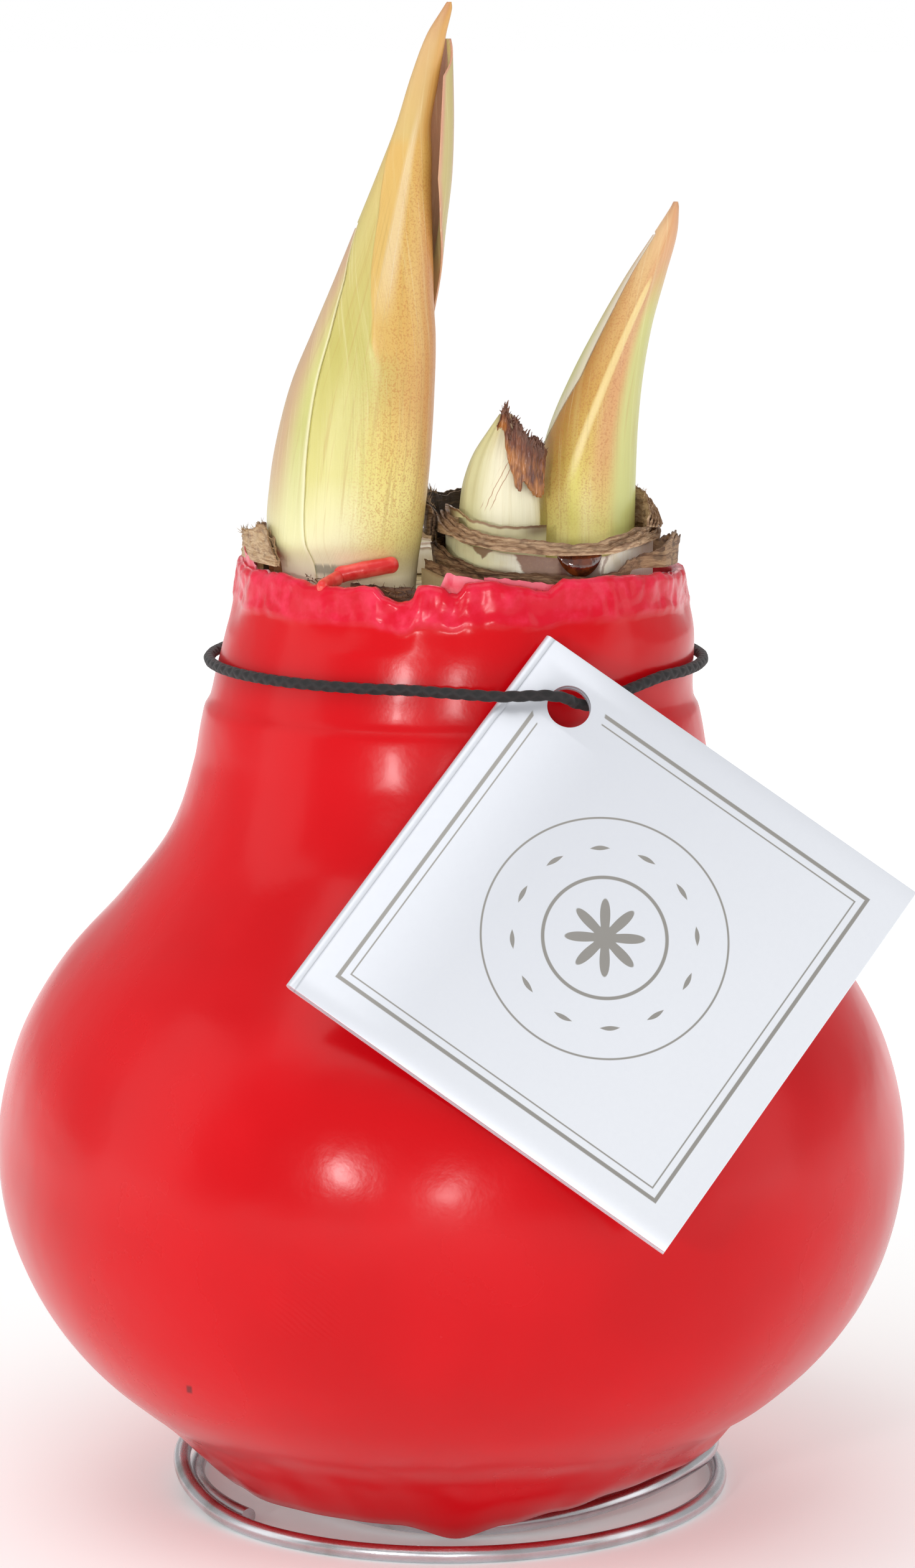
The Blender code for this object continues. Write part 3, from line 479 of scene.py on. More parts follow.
tall = {
    "outline": [(96.95, -17.3, -3.7, 5.5, -8.2), (100.4, -17.6, -3.4, 5.7, -8.3),
                (103.0, -18.9, -3.0, 6.5, -8.6),
                (109.0, -18.6, -2.3, 6.4, -8.6), (114.0, -17.7, -1.9, 6.1, -8.6),
                (119.0, -16.3, -1.7, 5.7, -8.6),
                (124.0, -14.2, -1.9, 5.0, -8.6), (129.4, -11.9, -2.3, 4.1, -8.6),
                (134.5, -9.8, -2.4, 3.2, -8.5),
                (139.6, -7.7, -2.4, 2.4, -8.4), (144.7, -5.7, -2.1, 1.7, -8.2),
                (149.8, -4.1, -1.2, 1.2, -7.8),
                (154.0, -2.5, -0.5, 0.8, -7.3), (156.6, -0.9, 0.1, 0.4, -6.9),
                (157.3, -0.45, 0.05, 0.2, -6.8)],
    "leftFront": [(96.95, -118.0), (103.0, -120.0), (109.0, -123.0), (114.0, -126.5), (119.0, -130.0),
                  (124.0, -134.0), (129.4, -142.0), (134.5, -165.0)],
    "leftBack": [(96.95, -262.0), (114.0, -255.0), (124.0, -230.0), (129.4, -206.0), (134.5, -192.0)],
    "leftTop": 134.5,
    "backFront": [(96.95, 12.0), (119.0, 10.0), (124.0, 8.0), (129.4, 4.0), (134.5, -24.0), (139.6, -42.0),
                  (150.0, -48.0), (153.6, 24.0)],
    "backBack": [(96.95, 88.0), (119.0, 92.0), (129.4, 105.0), (139.6, 112.0), (150.0, 118.0), (153.6, 46.0)],
    "backTop": 153.6,
    "backCover": 124.0,  # up to here the back leaf lies on the main one
    "crease": [(118.0, -75.0), (123.0, -92.0), (126.0, -96.0), (131.0, -108.0), (136.0, -118.0),
               (140.0, -135.0), (146.0, -170.0)],
    "creaseRise": [(117.0, 0.0), (125.0, 0.35), (131.0, 0.55), (141.0, 0.4), (146.0, 0.0)],
}
tall["backOutline"] = tall["outline"][:7] + [  # it leaves the main leaf above its seventh row
    (129.4, -13.2, -1.05, 5.4, -8.6), (134.5, -11.7, -0.5, 4.6, -8.5), (139.6, -10.2, 0.1, 3.9, -8.4),
    (144.7, -8.1, 0.3, 3.2, -8.2), (149.8, -5.5, 0.25, 2.5, -7.8), (153.6, -3.4, 0.15, 1.9, -7.3)]
short = {
    "outline": [(96.95, 9.2, 18.9, 4.6, -2.0), (103.0, 9.1, 19.1, 4.7, -2.0), (108.6, 9.0, 19.2, 4.6, -2.0),
                (113.8, 10.2, 19.4, 4.3, -2.0), (119.0, 12.4, 19.9, 3.9, -2.0),
                (124.2, 15.1, 20.8, 3.2, -2.0),
                (129.4, 18.1, 22.2, 2.4, -2.0), (133.5, 20.8, 23.3, 1.6, -2.0),
                (136.3, 22.6, 23.5, 0.8, -2.0),
                (136.9, 22.9, 23.4, 0.4, -2.0)],
    "left": [(96.95, -190.0), (110.0, -188.0), (114.0, -160.0), (119.0, -140.0), (126.0, -140.0),
             (134.0, -150.0)],
    "right": [(96.95, -352.0), (119.0, -356.0), (127.0, -340.0), (134.0, -310.0)],
    "top": 133.5,
    "keel": [(96.95, -122.0), (104.0, -118.0), (109.5, -108.0), (116.0, -96.0), (127.0, -80.0),
             (134.0, -75.0)],
    "keelRise": [(103.0, 0.0), (110.0, 0.4), (127.0, 0.45), (134.0, 0.0)],
}
leaf = {"thick": 0.8, "margin": 0.16, "gap": 0.03, "levels": 110}


def onOval(row, z, degrees, inset):
    left, right, depth, middle = row
    turn = math.radians(degrees)
    return ((left + right) / 2.0 + max((right - left) / 2.0 - inset, 0.08) * math.cos(turn),
            middle + max(depth - inset, 0.06) * math.sin(turn), z)


def bladeWidth(row, t):  # thickness across a blade, thin at both margins
    small = min(1.0, (row[1] - row[0]) / 9.0)
    return leaf["margin"] + (leaf["thick"] * (0.4 + 0.6 * small) - leaf["margin"]) * min(1.0,
                                                                                         6.4 * t * (1.0 - t))


def levelsOf(outline, top=None, count=None):
    low, high = outline[0][0], top or outline[-1][0]
    count = count or leaf["levels"]
    return [low + (high - low) * (1.0 - (1.0 - k / (count - 1)) ** 1.25) for k in range(count)]


def makeBlade(name, outline, first, second, top, across, roll, finish, nodes):
    # a leaf blade between two margins; roll(z, t) lifts it off the outline
    rows, fields = [], {"side": [], "up": [], "across": [], "margin": []}
    shape = [(r[0], *r[1:]) for r in outline]
    for z in levelsOf(outline, top, 90):
        row = rowAt(shape, z)
        start, end = straight(first, z), straight(second, z)
        outer, inner = [], []
        for i in range(across):
            t = 0.5 - 0.5 * math.cos(math.pi * i / (across - 1))
            way = start + (end - start) * t
            lift = roll(z, t)
            outer.append((onOval(row, z, way, -lift), t, way))
            inner.append((onOval(row, z, way, bladeWidth(row, t) - lift), t, way))
        ring = outer + inner[::-1]
        rows.append([p for p, _, _ in ring])
        left, right = row[0], row[1]
        half = (right - left + 2.0 * row[2]) / 4.0
        fields["side"].append([(p[0] - left) / (right - left) for p, _, _ in ring])
        fields["up"].append([z] * len(ring))
        fields["across"].append([math.radians(way) * half for _, _, way in ring])
        fields["margin"].append([t for _, t, _ in ring])
    mesh = gridMesh(name, rows, fields, around=True, sharp=55.0)
    return makePiece(name, mesh, finish, nodes)


def coveredBy(row, z, degrees, first, second, top):
    # how far the inner leaf draws in under an outer one
    if z > top + 0.1:
        return 0.0
    low, high = sorted((straight(first, z), straight(second, z)))
    deepest = 0.0
    for way in (degrees, degrees - 360.0, degrees + 360.0):
        t = (way - low) / (high - low)
        inside = blend([(-2.6, 0.0), (-0.4, 1.0)], way - low) * blend([(-2.6, 0.0), (-0.4, 1.0)], high - way)
        if inside > 0.0:
            deepest = max(deepest, inside * (bladeWidth(row, min(max(t, 0.0), 1.0)) + leaf["gap"]))
    fade = blend([(top - 1.5, 1.0), (top, 1.0), (top + 0.1, 0.0)], z)
    return deepest * fade


def makeCore(name, outline, covers, lift, around, finish, nodes):
    rows, fields = [], {"side": [], "up": [], "across": [], "fold": []}
    for z in levelsOf(outline):
        row = rowAt(outline, z)
        ring, ways = [], []
        for i in range(around):
            way = -180.0 + 360.0 * i / around
            inset = max([coveredBy(row, z, way, *cover) for cover in covers])
            ring.append(onOval(row, z, way, inset - lift(z, way)))
            ways.append(way)
        rows.append(ring)
        left, right = row[0], row[1]
        half = (right - left + 2.0 * row[2]) / 4.0
        fields["side"].append([(p[0] - left) / (right - left) for p in ring])
        fields["up"].append([z] * around)
        fields["across"].append([math.radians(way) * half for way in ways])
        fields["fold"].append([lift(z, way) for way in ways])
    mesh = gridMesh(name, rows, fields, around=True, sharp=60.0)
    return makePiece(name, mesh, finish, nodes)


def tallFold(z, way):  # the golden fold stands proud to the right of its crease, high up only
    crease = straight(tall["crease"], z)
    rise = blend(tall["creaseRise"], z)
    return rise * blend([(0.0, 0.0), (6.0, 1.0)], way - crease) * blend([(-4.0, 1.0), (8.0, 0.0)], way)


def shortKeel(z, way):
    return blend(short["keelRise"], z) * hump(way, straight(short["keel"], z), 13.0)


def leafBase(name, stops, low, high):
    # shared start of every leaf finish: colour by height, veins and mottling
    f = Finish(name, roughness=0.32, specular_ior_level=0.5, coat_weight=0.12, coat_roughness=0.3)
    up = f.field("up")
    colour = f.ramp((up - low) / (high - low), stops)
    veinPoint = f.point(f.field("across") * 3.2, up * 0.05, 0.0)
    veins = f.cloud(1.0, veinPoint, detail=4.0, rough=0.65)
    broad = f.cloud(1.0, f.point(f.field("across") * 0.7, up * 0.035, 5.0), detail=2.0)
    return f, up, colour, veins, broad


def finishLeaf(f, colour, veins, broad):
    colour = f.mix(f.step(veins, 0.42, 0.30) * 0.16, colour, rgb(150, 130, 60))
    colour = f.mix(f.step(veins, 0.56, 0.70) * 0.22, colour, rgb(240, 236, 190))
    colour = f.mix(f.step(broad, 0.5, 0.75) * 0.12, colour, rgb(236, 228, 160))
    fine = f.cloud(0.00025, detail=2.0)
    f.drive(base_color=colour, roughness=0.28 + 0.14 * fine)
    f.drive(normal=f.relief(veins, 0.05, f.relief(fine, 0.012)))


def speckle(f, size, share):
    spots = f.cloud(size, detail=2.0, rough=0.55)
    return f.step(spots, 0.5 - share, 0.66 - share)


def tallMainFinish():
    stops = [(0.0, rgb(238, 234, 212)), (0.08, rgb(232, 226, 180)), (0.2, rgb(210, 202, 124)),
             (0.42, rgb(190, 180, 96)), (0.62, rgb(200, 184, 112)), (0.78, rgb(208, 176, 108)),
             (0.93, rgb(208, 168, 114)), (1.0, rgb(194, 136, 90))]
    f, up, colour, veins, broad = leafBase("tallMainLeaf", stops, 98.0, 157.3)
    side = f.field("side")
    yellow = f.step(side, 0.45, 0.8) * f.between(up, 100.5, 116.0, 3.0)
    colour = f.mix(yellow * 0.75, colour, rgb(240, 222, 126))
    gold = f.step(side, 0.48, 0.9) * f.step(up, 106.0, 118.0)
    colour = f.mix(gold * 0.85, colour, rgb(214, 160, 84))
    colour = f.mix(f.step(f.field("fold"), 0.1, 0.3) * 0.75, colour, rgb(215, 170, 90))
    blush = f.step(side, 0.86, 1.0) * f.between(up, 106.0, 136.0, 6.0)
    colour = f.mix(blush * 0.7, colour, rgb(204, 136, 84))
    spots = speckle(f, 0.0002, 0.02) * f.step(side, 0.4, 0.75) * f.between(up, 102.5, 142.0, 4.0)
    colour = f.mix(spots * 0.5, colour, rgb(186, 112, 48))
    streak = f.step(f.cloud(1.0, f.point(side * 30.0, up * 0.05, 2.0), detail=4.0, rough=0.65), 0.52, 0.66)
    colour = f.mix(streak * f.between(up, 104.0, 138.0, 6.0) * 0.42, colour, rgb(184, 148, 78))
    pale = f.between(side, 0.5, 0.66, 0.05) * f.between(up, 128.0, 145.0, 4.0)
    colour = f.mix(pale * (0.35 + streak * 0.3), colour, rgb(240, 226, 196))
    stain = f.between(side, 0.22, 0.43, 0.04) * f.between(up + streak * 0.3, 99.6, 100.6, 0.25)
    colour = f.mix(stain * 0.75, colour, rgb(132, 134, 118))
    finishLeaf(f, colour, veins, broad)
    return f


def tallLeftFinish():
    stops = [(0.0, rgb(240, 237, 218)), (0.12, rgb(224, 220, 168)), (0.45, rgb(194, 192, 116)),
             (0.8, rgb(200, 194, 118)), (1.0, rgb(192, 170, 122))]
    f, up, colour, veins, broad = leafBase("tallLeftLeaf", stops, 98.0, 134.5)
    side = f.field("side")
    edge = (1.0 - f.step(side, 0.03, 0.16)) * f.step(up, 101.0, 112.0)
    colour = f.mix(edge * 0.8, colour, rgb(200, 158, 132))
    streak = f.step(f.cloud(1.0, f.point(side * 34.0, up * 0.05, 6.0), detail=4.0, rough=0.65), 0.54, 0.68)
    colour = f.mix(streak * f.step(up, 104.0, 112.0) * 0.35, colour, rgb(180, 148, 104))
    # pale line along the leaf's margin: partly the thin margin's own pale colour, partly a painted highlight
    # on the ridge it makes
    rib = 1.0 - f.step(f.field("margin"), 0.0, 0.03)
    colour = f.mix(rib * 0.7, colour, rgb(238, 232, 196))
    finishLeaf(f, colour, veins, broad)
    return f


def tallBackFinish():
    stops = [(0.0, rgb(220, 214, 150)), (0.35, rgb(204, 180, 112)), (0.7, rgb(204, 160, 122)),
             (1.0, rgb(196, 146, 116))]
    f, up, colour, veins, broad = leafBase("tallBackLeaf", stops, 98.0, 153.6)
    margin = f.field("margin")
    inner = f.between(margin, 0.03, 0.22, 0.03) * f.step(up, 128.0, 134.0)
    colour = f.mix(inner * 0.6, colour, rgb(196, 196, 122))
    colour = f.mix((1.0 - f.step(margin, 0.0, 0.03)) * 0.7, colour, rgb(206, 150, 124))
    finishLeaf(f, colour, veins, broad)
    return f


def shortMainFinish():
    stops = [(0.0, rgb(228, 222, 162)), (0.12, rgb(234, 222, 138)), (0.3, rgb(216, 190, 98)),
             (0.5, rgb(206, 162, 86)), (0.75, rgb(214, 170, 112)), (0.93, rgb(220, 176, 130)),
             (1.0, rgb(200, 148, 106))]
    f, up, colour, veins, broad = leafBase("shortMainLeaf", stops, 99.0, 136.9)
    side = f.field("side")
    keel = f.step(f.field("fold"), 0.30, 0.40)
    right = f.step(side, 0.45, 0.62) * f.step(up, 103.0, 112.0)
    colour = f.mix(right * 0.7, colour, rgb(214, 156, 112))
    green = f.step(side, 0.66, 0.84) * (1.0 - f.step(up, 124.0, 132.0))
    colour = f.mix(green * 0.85, colour, rgb(200, 206, 128))
    left = (1.0 - f.step(side, 0.1, 0.4)) * f.between(up, 108.0, 128.0, 5.0)
    colour = f.mix(left * 0.75, colour, rgb(164, 112, 46))
    spots = speckle(f, 0.0002, 0.02) * f.between(side, 0.05, 0.72, 0.1) * f.between(up, 104.0, 130.0, 4.0)
    colour = f.mix(spots * 0.42, colour, rgb(180, 106, 56))
    streak = f.step(f.cloud(1.0, f.point(side * 22.0, up * 0.05, 2.0), detail=4.0, rough=0.65), 0.54, 0.68)
    colour = f.mix(streak * 0.3, colour, rgb(190, 146, 84))
    # painted highlight: a pale streak along the keel's crest, from about 106 mm up
    colour = f.mix(keel * 0.7 * f.step(up, 106.0, 112.0), colour, rgb(236, 216, 150))
    lime = f.between(side, 0.30, 0.42, 0.04) * f.between(up, 101.0, 110.0, 2.0)
    colour = f.mix(lime * 0.5, colour, rgb(222, 214, 92))
    finishLeaf(f, colour, veins, broad)
    return f


def shortBackFinish():
    stops = [(0.0, rgb(222, 218, 150)), (0.3, rgb(202, 206, 124)), (0.7, rgb(196, 192, 124)),
             (1.0, rgb(200, 158, 120))]
    f, up, colour, veins, broad = leafBase("shortBackLeaf", stops, 99.0, 133.5)
    margin = f.field("margin")
    pale = (1.0 - f.step(margin, 0.0, 0.16)) * f.step(up, 108.0, 116.0)
    colour = f.mix(pale * 0.75, colour, rgb(226, 218, 206))
    colour = f.mix(f.step(margin, 0.93, 1.0) * 0.7, colour, rgb(214, 166, 140))
    finishLeaf(f, colour, veins, broad)
    return f


def flat(z, t):
    return 0.0


def makeShoots():
    leftCover = (tall["leftFront"], tall["leftBack"], tall["leftTop"])
    backCover = (tall["backFront"], tall["backBack"], tall["backCover"])
    makeCore("tallMainLeaf", tall["outline"], [leftCover, backCover], tallFold, 260, tallMainFinish(),
             ["tall_shoot_main_leaf"])
    makeBlade("tallLeftLeaf", tall["outline"], tall["leftFront"], tall["leftBack"], tall["leftTop"], 60, flat,
              tallLeftFinish(), ["tall_shoot_left_leaf"])
    makeBlade("tallBackLeaf", tall["backOutline"], tall["backFront"], tall["backBack"], tall["backTop"], 50,
              flat,
              tallBackFinish(), ["tall_shoot_back_leaf"])
    makeCore("shortMainLeaf", short["outline"], [(short["left"], short["right"], short["top"])], shortKeel,
             200,
             shortMainFinish(), ["short_shoot_main_leaf"])
    makeBlade("shortBackLeaf", short["outline"], short["left"], short["right"], short["top"], 60, flat,
              shortBackFinish(), ["short_shoot_back_leaf"])


makeShoots()
print("shoots done")


# Scales: the cut and torn edges round the shoots. Heights in millimetres by direction in degrees.

heart = (10.4, -4.4)  # the middle that the scales round the short shoot share
neck = (1.0, 0.0)
foot = 96.95


def tableAt(table, at, plus=0.0):
    return (blend(table, at) if isinstance(table, list) else table) + plus


def scaleSheet(spec, drop=0.0, inward=0.0, thick=None, shade=0.0):
    # one torn sheet round a middle, as a grid; drop lowers its top, inward sets it in
    first, last = spec.get("span", (-180.0, 180.0))
    closed = last - first > 359.9
    columns, levels = spec["columns"], spec.get("levels", 12)
    middle, seed = spec["middle"], spec["seed"] * 13.7 + inward * 31.0
    thick = thick or spec["thick"]
    rows, fields = [], {"up": [], "way": [], "along": [], "below": [], "shade": [], "inner": []}
    for i in range(columns):
        way = first + (last - first) * i / (columns if closed else columns - 1)
        at = (way + 180.0) % 360.0 - 180.0
        reach = tableAt(spec["reach"], at, -inward)
        px, py, _ = polar((0.0, 0.0), reach, at, 0.0)
        low, top = tableAt(spec["foot"], at), tableAt(spec["top"], at, -drop)
        torn = spec["torn"] * tableAt(spec.get("tornAt", 1.0), at)
        top += torn * (0.8 * wander(px, py, seed, 2.6, 2) + 0.6 * wander(px, py, seed + 5.0, 0.7, 2))
        top = max(top, low + 0.3)
        outer, inner, below = [], [], []
        for k in range(levels + 1):
            t = k / levels
            z = low + (top - low) * t
            fibre = wander(px * 0.22, py * 0.22, z * 1.7 + seed, 0.5, 2)
            radius = reach + spec.get("flare", 0.0) * t * t + spec.get("ridge", 0.0) * fibre
            radius += spec["wave"] * t * wander(px, py, z * 0.6 + seed, 2.2, 3)
            wall = thick * (1.0 - 0.55 * t**4)
            x, y, _ = polar(middle, radius, way, z)
            away = math.hypot(x - neck[0], y - neck[1])
            pull = min(1.0, tableAt(spec.get("within", 99.0), at) / away)
            x, y = neck[0] + (x - neck[0]) * pull, neck[1] + (y - neck[1]) * pull
            back = wall / math.hypot(x - middle[0], y - middle[1])
            outer.append((x, y, z))
            inner.append((x + (middle[0] - x) * back, y + (middle[1] - y) * back, z - 0.04))
            below.append(top - z)
        ring = outer + inner[::-1]
        below = below + below[::-1]
        rows.append(ring)
        fields["up"].append([p[2] for p in ring])
        fields["way"].append([at] * len(ring))
        fields["along"].append([math.radians(way) * reach] * len(ring))
        fields["below"].append(below)
        fields["shade"].append([shade] * len(ring))
        fields["inner"].append([0.0] * len(outer) + [1.0] * len(inner))
    return rows, fields, closed


def makeScale(name, sheets, finish, nodes):
    return makePiece(name, joinGrids(name, sheets), finish, nodes)


def fibreTufts(count, seed, place, length, lean):
    # short broken fibres, each a thin bent spike; place(rng) gives its root and the way it points
    rng = random.Random(seed)
    grids = []
    for _ in range(count):
        root, way = place(rng)
        way = (Vector(way) + Vector([rng.uniform(-lean, lean) for _ in range(3)])).normalized()
        bend = Vector([rng.uniform(-0.5, 0.5) for _ in range(3)])
        reach = length * rng.uniform(0.45, 1.0)
        size = rng.uniform(0.05, 0.1)
        rows, fields = [], {"up": [], "way": [], "along": [], "below": [], "shade": [], "inner": []}
        tone = rng.uniform(-1.0, 1.0)
        for k in range(4):
            t = k / 3.0
            middle = Vector(root) + way * reach * t + bend * reach * 0.5 * t * t
            side = way.orthogonal().normalized()
            other = way.cross(side)
            r = size * (1.0 - 0.85 * t)
            rows.append([tuple(middle + (side * math.cos(a) + other * math.sin(a) * 0.5) * r)
                         for a in (0.0, 2.1, 4.2)])
            for label, value in (("up", middle.z), ("way", 0.0), ("along", root[0] * 3.0), ("below", 0.5),
                                 ("shade", tone), ("inner", 0.0)):
                fields[label].append([value] * 3)
        grids.append((rows, fields, False))
    return grids


def alongTop(spec, reach, spread, span, sink, lean):  # where fibres stand along a sheet's torn top
    def place(rng):
        way = rng.uniform(*span)
        at = (way + 180.0) % 360.0 - 180.0
        root = polar(spec["middle"], reach + rng.uniform(*spread), way, tableAt(spec["top"], at) - sink)
        return root, (math.cos(math.radians(way)) * lean, math.sin(math.radians(way)) * lean, 1.0)
    return place


def paperFinish(name, pale, middle, dark, edge, gloss=0.15, hollowShade=None, **fixed):
    f = Finish(name, specular_ior_level=0.35, coat_weight=gloss, coat_roughness=0.35, **fixed)
    along, up, below, shade = (f.field(k) for k in ("along", "up", "below", "shade"))
    warp = f.cloud(1.0, f.point(along * 0.8, up * 0.8, 3.0), detail=2.0)
    fibre = f.cloud(1.0, f.point(along * 0.35, up * 4.2 + warp * 2.5, shade), detail=5.0, rough=0.72)
    blotch = f.cloud(1.0, f.point(along * 0.7, up * 0.9, 7.0), detail=3.0)
    colour = f.ramp(fibre, [(0.28, dark), (0.42, middle), (0.58, pale), (0.72, middle), (0.85, dark)])
    colour = f.mix(f.step(blotch, 0.5, 0.66) * 0.55, colour, dark)
    colour = f.mix((1.0 - f.step(below, 0.02, 0.28)) * 0.6, colour, edge)
    # painted light and shade: each sheet of a stack is drawn lighter or darker by its shade number, so the
    # layers stand apart; on fibre tufts the number is a random tone
    colour = f.mix(f.step(shade, 0.2, 1.0) * 0.35, colour, pale)
    colour = f.mix(f.step(0.0 - shade, 0.2, 1.0) * 0.5, colour, dark)
    # painted shade: the sheets' inner faces are drawn dark, as inside a curl, a little less on the light
    # fibres
    if hollowShade:
        colour = f.mix(f.field("inner") * (1.0 - f.step(fibre, 0.56, 0.7) * 0.5), colour, hollowShade)
    f.drive(base_color=colour, roughness=0.55 + 0.3 * fibre)
    f.drive(normal=f.relief(fibre, 0.16, f.relief(f.cloud(0.0005, detail=3.0, rough=0.7), 0.05)))
    return f


upperRim = {
    "middle": heart, "columns": 460, "levels": 12, "seed": 5, "thick": 0.5, "torn": 0.22, "wave": 0.22,
    "ridge": 0.07, "flare": 0.05,
    "reach": [(-180, 12.0), (-90, 12.2), (-60, 11.9), (-23, 10.9), (20, 11.6), (90, 12.2), (180, 12.0)],
    "foot": [(-180, 103.2), (-150, 103.2), (-138, 102.6), (-110, 102.1), (-85, 101.8), (-60, 101.8),
             (-45, 102.2), (-20, 102.4), (120, 102.6), (180, 103.2)],
    "top": [(-180, 105.7), (-164, 105.1), (-150, 104.4), (-138, 104.0), (-124, 103.6), (-100, 103.4),
            (-80, 102.9),
            (-65, 103.0), (-50, 103.6), (-30, 104.0), (-14, 103.7), (0, 103.7), (20, 104.3), (60, 104.2),
            (100, 103.5), (150, 104.6),
            (180, 105.7)],
}
lowerRim = {
    "middle": heart, "columns": 460, "levels": 14, "seed": 2, "thick": 0.38, "torn": 0.25, "wave": 0.2,
    "ridge": 0.06, "flare": 0.3,
    "tornAt": [(-180, 1.0), (-60, 0.7), (-40, 2.2), (25, 2.2), (50, 1.0), (180, 1.0)],
    "reach": [(-180, 12.2), (-140, 12.3), (-110, 13.1), (90, 13.1), (150, 12.6), (180, 12.2)],
    "within": [(-180, 21.35), (-36, 21.35), (-24, 23.2), (20, 23.4), (32, 21.35), (180, 21.35)],
    "foot": [(-180, foot), (-54, foot), (-42, 99.9), (28, 99.9), (42, foot), (180, foot)],
    "top": [(-180, 101.9), (-160, 101.9), (-145, 101.0), (-127, 100.2), (-102, 100.0), (-71, 99.6),
            (-56, 99.8), (-42, 100.9), (-32, 101.3), (-20, 102.8), (-8, 102.9), (8, 102.3), (28, 101.6),
            (50, 100.4), (180, 101.9)],
}
fleshy = {
    "middle": heart, "columns": 360, "levels": 16, "seed": 3, "thick": 0.8, "torn": 0.03, "wave": 0.06,
    "reach": 11.0, "within": 20.1, "foot": foot,
    "top": [(way, height - 0.35) for way, height in upperRim["foot"]],
}
inner = {
    "middle": (5.0, -5.7), "columns": 180, "levels": 16, "seed": 4, "thick": 0.5, "torn": 0.16, "wave": 0.12,
    "flare": 0.12, "reach": 5.1, "span": (-180.0, -22.0),
    "foot": [(-180, 104.9), (-134, 104.9), (-120, foot), (-20, foot)],
    "top": [(-180, 105.9), (-150, 105.7), (-120, 104.8), (-85, 104.2), (-20, 104.0)],
}
curl = {
    "middle": (5.2, -3.8), "columns": 230, "levels": 18, "seed": 6, "thick": 0.3, "torn": 0.3, "wave": 0.3,
    "ridge": 0.14, "flare": 0.3, "reach": 8.15, "span": (108.0, 210.0),
    "foot": [(-180, 102.8), (-160, 102.8), (-152, 105.0), (100, 97.5), (146, 97.5), (156, 102.8),
             (180, 102.8)],
    "top": [(-180, 107.2), (-165, 106.6), (-148, 105.8), (108, 105.4), (122, 106.7), (140, 106.5),
            (160, 107.1),
            (180, 107.2)],
}
outerLip = {
    "middle": heart, "columns": 150, "levels": 12, "seed": 21, "thick": 0.3, "torn": 0.3, "wave": 0.25,
    "ridge": 0.1, "flare": 0.25, "reach": 14.0, "within": 21.35, "span": (-158.0, -76.0), "foot": foot,
    "top": [(-158, 100.9), (-142, 100.5), (-128, 100.0), (-110, 99.7), (-92, 99.4), (-76, 99.0)],
}
greenBit = {
    "middle": heart, "columns": 60, "levels": 10, "seed": 22, "thick": 0.6, "torn": 0.06, "wave": 0.05,
    "reach": 14.7, "span": (-156.0, -136.0), "foot": foot, "top": [(-156, 99.9), (-136, 99.3)],
}
peak = {
    "middle": heart, "columns": 170, "levels": 14, "seed": 7, "thick": 0.26, "torn": 0.22, "wave": 0.16,
    "ridge": 0.06, "flare": 0.15, "reach": 10.75, "span": (-8.0, 78.0), "foot": 103.6,
    "top": [(-40, 104.7), (-8, 104.9), (4, 105.5), (20, 106.9), (36, 107.3), (75, 105.4)],
}
outerScale = {
    "middle": neck, "columns": 300, "levels": 14, "seed": 8, "thick": 0.4, "torn": 0.45, "wave": 0.28,
    "ridge": 0.08, "flare": 0.2, "reach": 21.1, "span": (26.0, 180.0), "foot": foot,
    "top": [(26, 98.8), (60, 100.2), (120, 100.6), (150, 101.6), (168, 103.0), (180, 103.2)],
}
frontScale = {
    "middle": neck, "columns": 120, "levels": 12, "seed": 12, "thick": 0.4, "torn": 0.35, "wave": 0.2,
    "ridge": 0.06, "reach": 21.1, "span": (-122.0, -74.0), "foot": foot,
    "top": [(-124, 99.2), (-110, 99.0), (-72, 98.6)],
}
crinkled = {
    "middle": neck, "columns": 130, "levels": 16, "seed": 13, "thick": 0.3, "torn": 0.2, "wave": 0.5,
    "ridge": 0.2, "reach": 22.9, "span": (168.0, 214.0), "foot": 100.3,
    "top": [(-180, 102.5), (-170, 103.2), (-160, 103.6), (-153, 104.3), (-149, 103.8), (-146, 101.6),
            (166, 101.8),
            (180, 102.5)],
}
plate = {
    "middle": neck, "columns": 110, "levels": 14, "seed": 9, "thick": 0.5, "torn": 0.14, "wave": 0.1,
    "ridge": 0.04, "reach": 20.1, "span": (128.0, 179.0), "foot": foot,
    "top": [(126, 99.4), (146, 103.0), (160, 104.9), (176, 105.0), (180, 104.6)],
}
backLayers = {
    "middle": neck, "columns": 150, "levels": 8, "seed": 10, "thick": 1.3, "torn": 0.2, "wave": 0.1,
    "ridge": 0.03, "reach": 17.2, "span": (52.0, 150.0), "foot": foot, "top": 99.5,
}
middleLayers = {
    "middle": neck, "columns": 120, "levels": 8, "seed": 11, "thick": 1.5, "torn": 0.2, "wave": 0.1,
    "ridge": 0.03, "reach": 13.4, "span": (88.0, 160.0), "foot": foot, "top": 100.0,
}


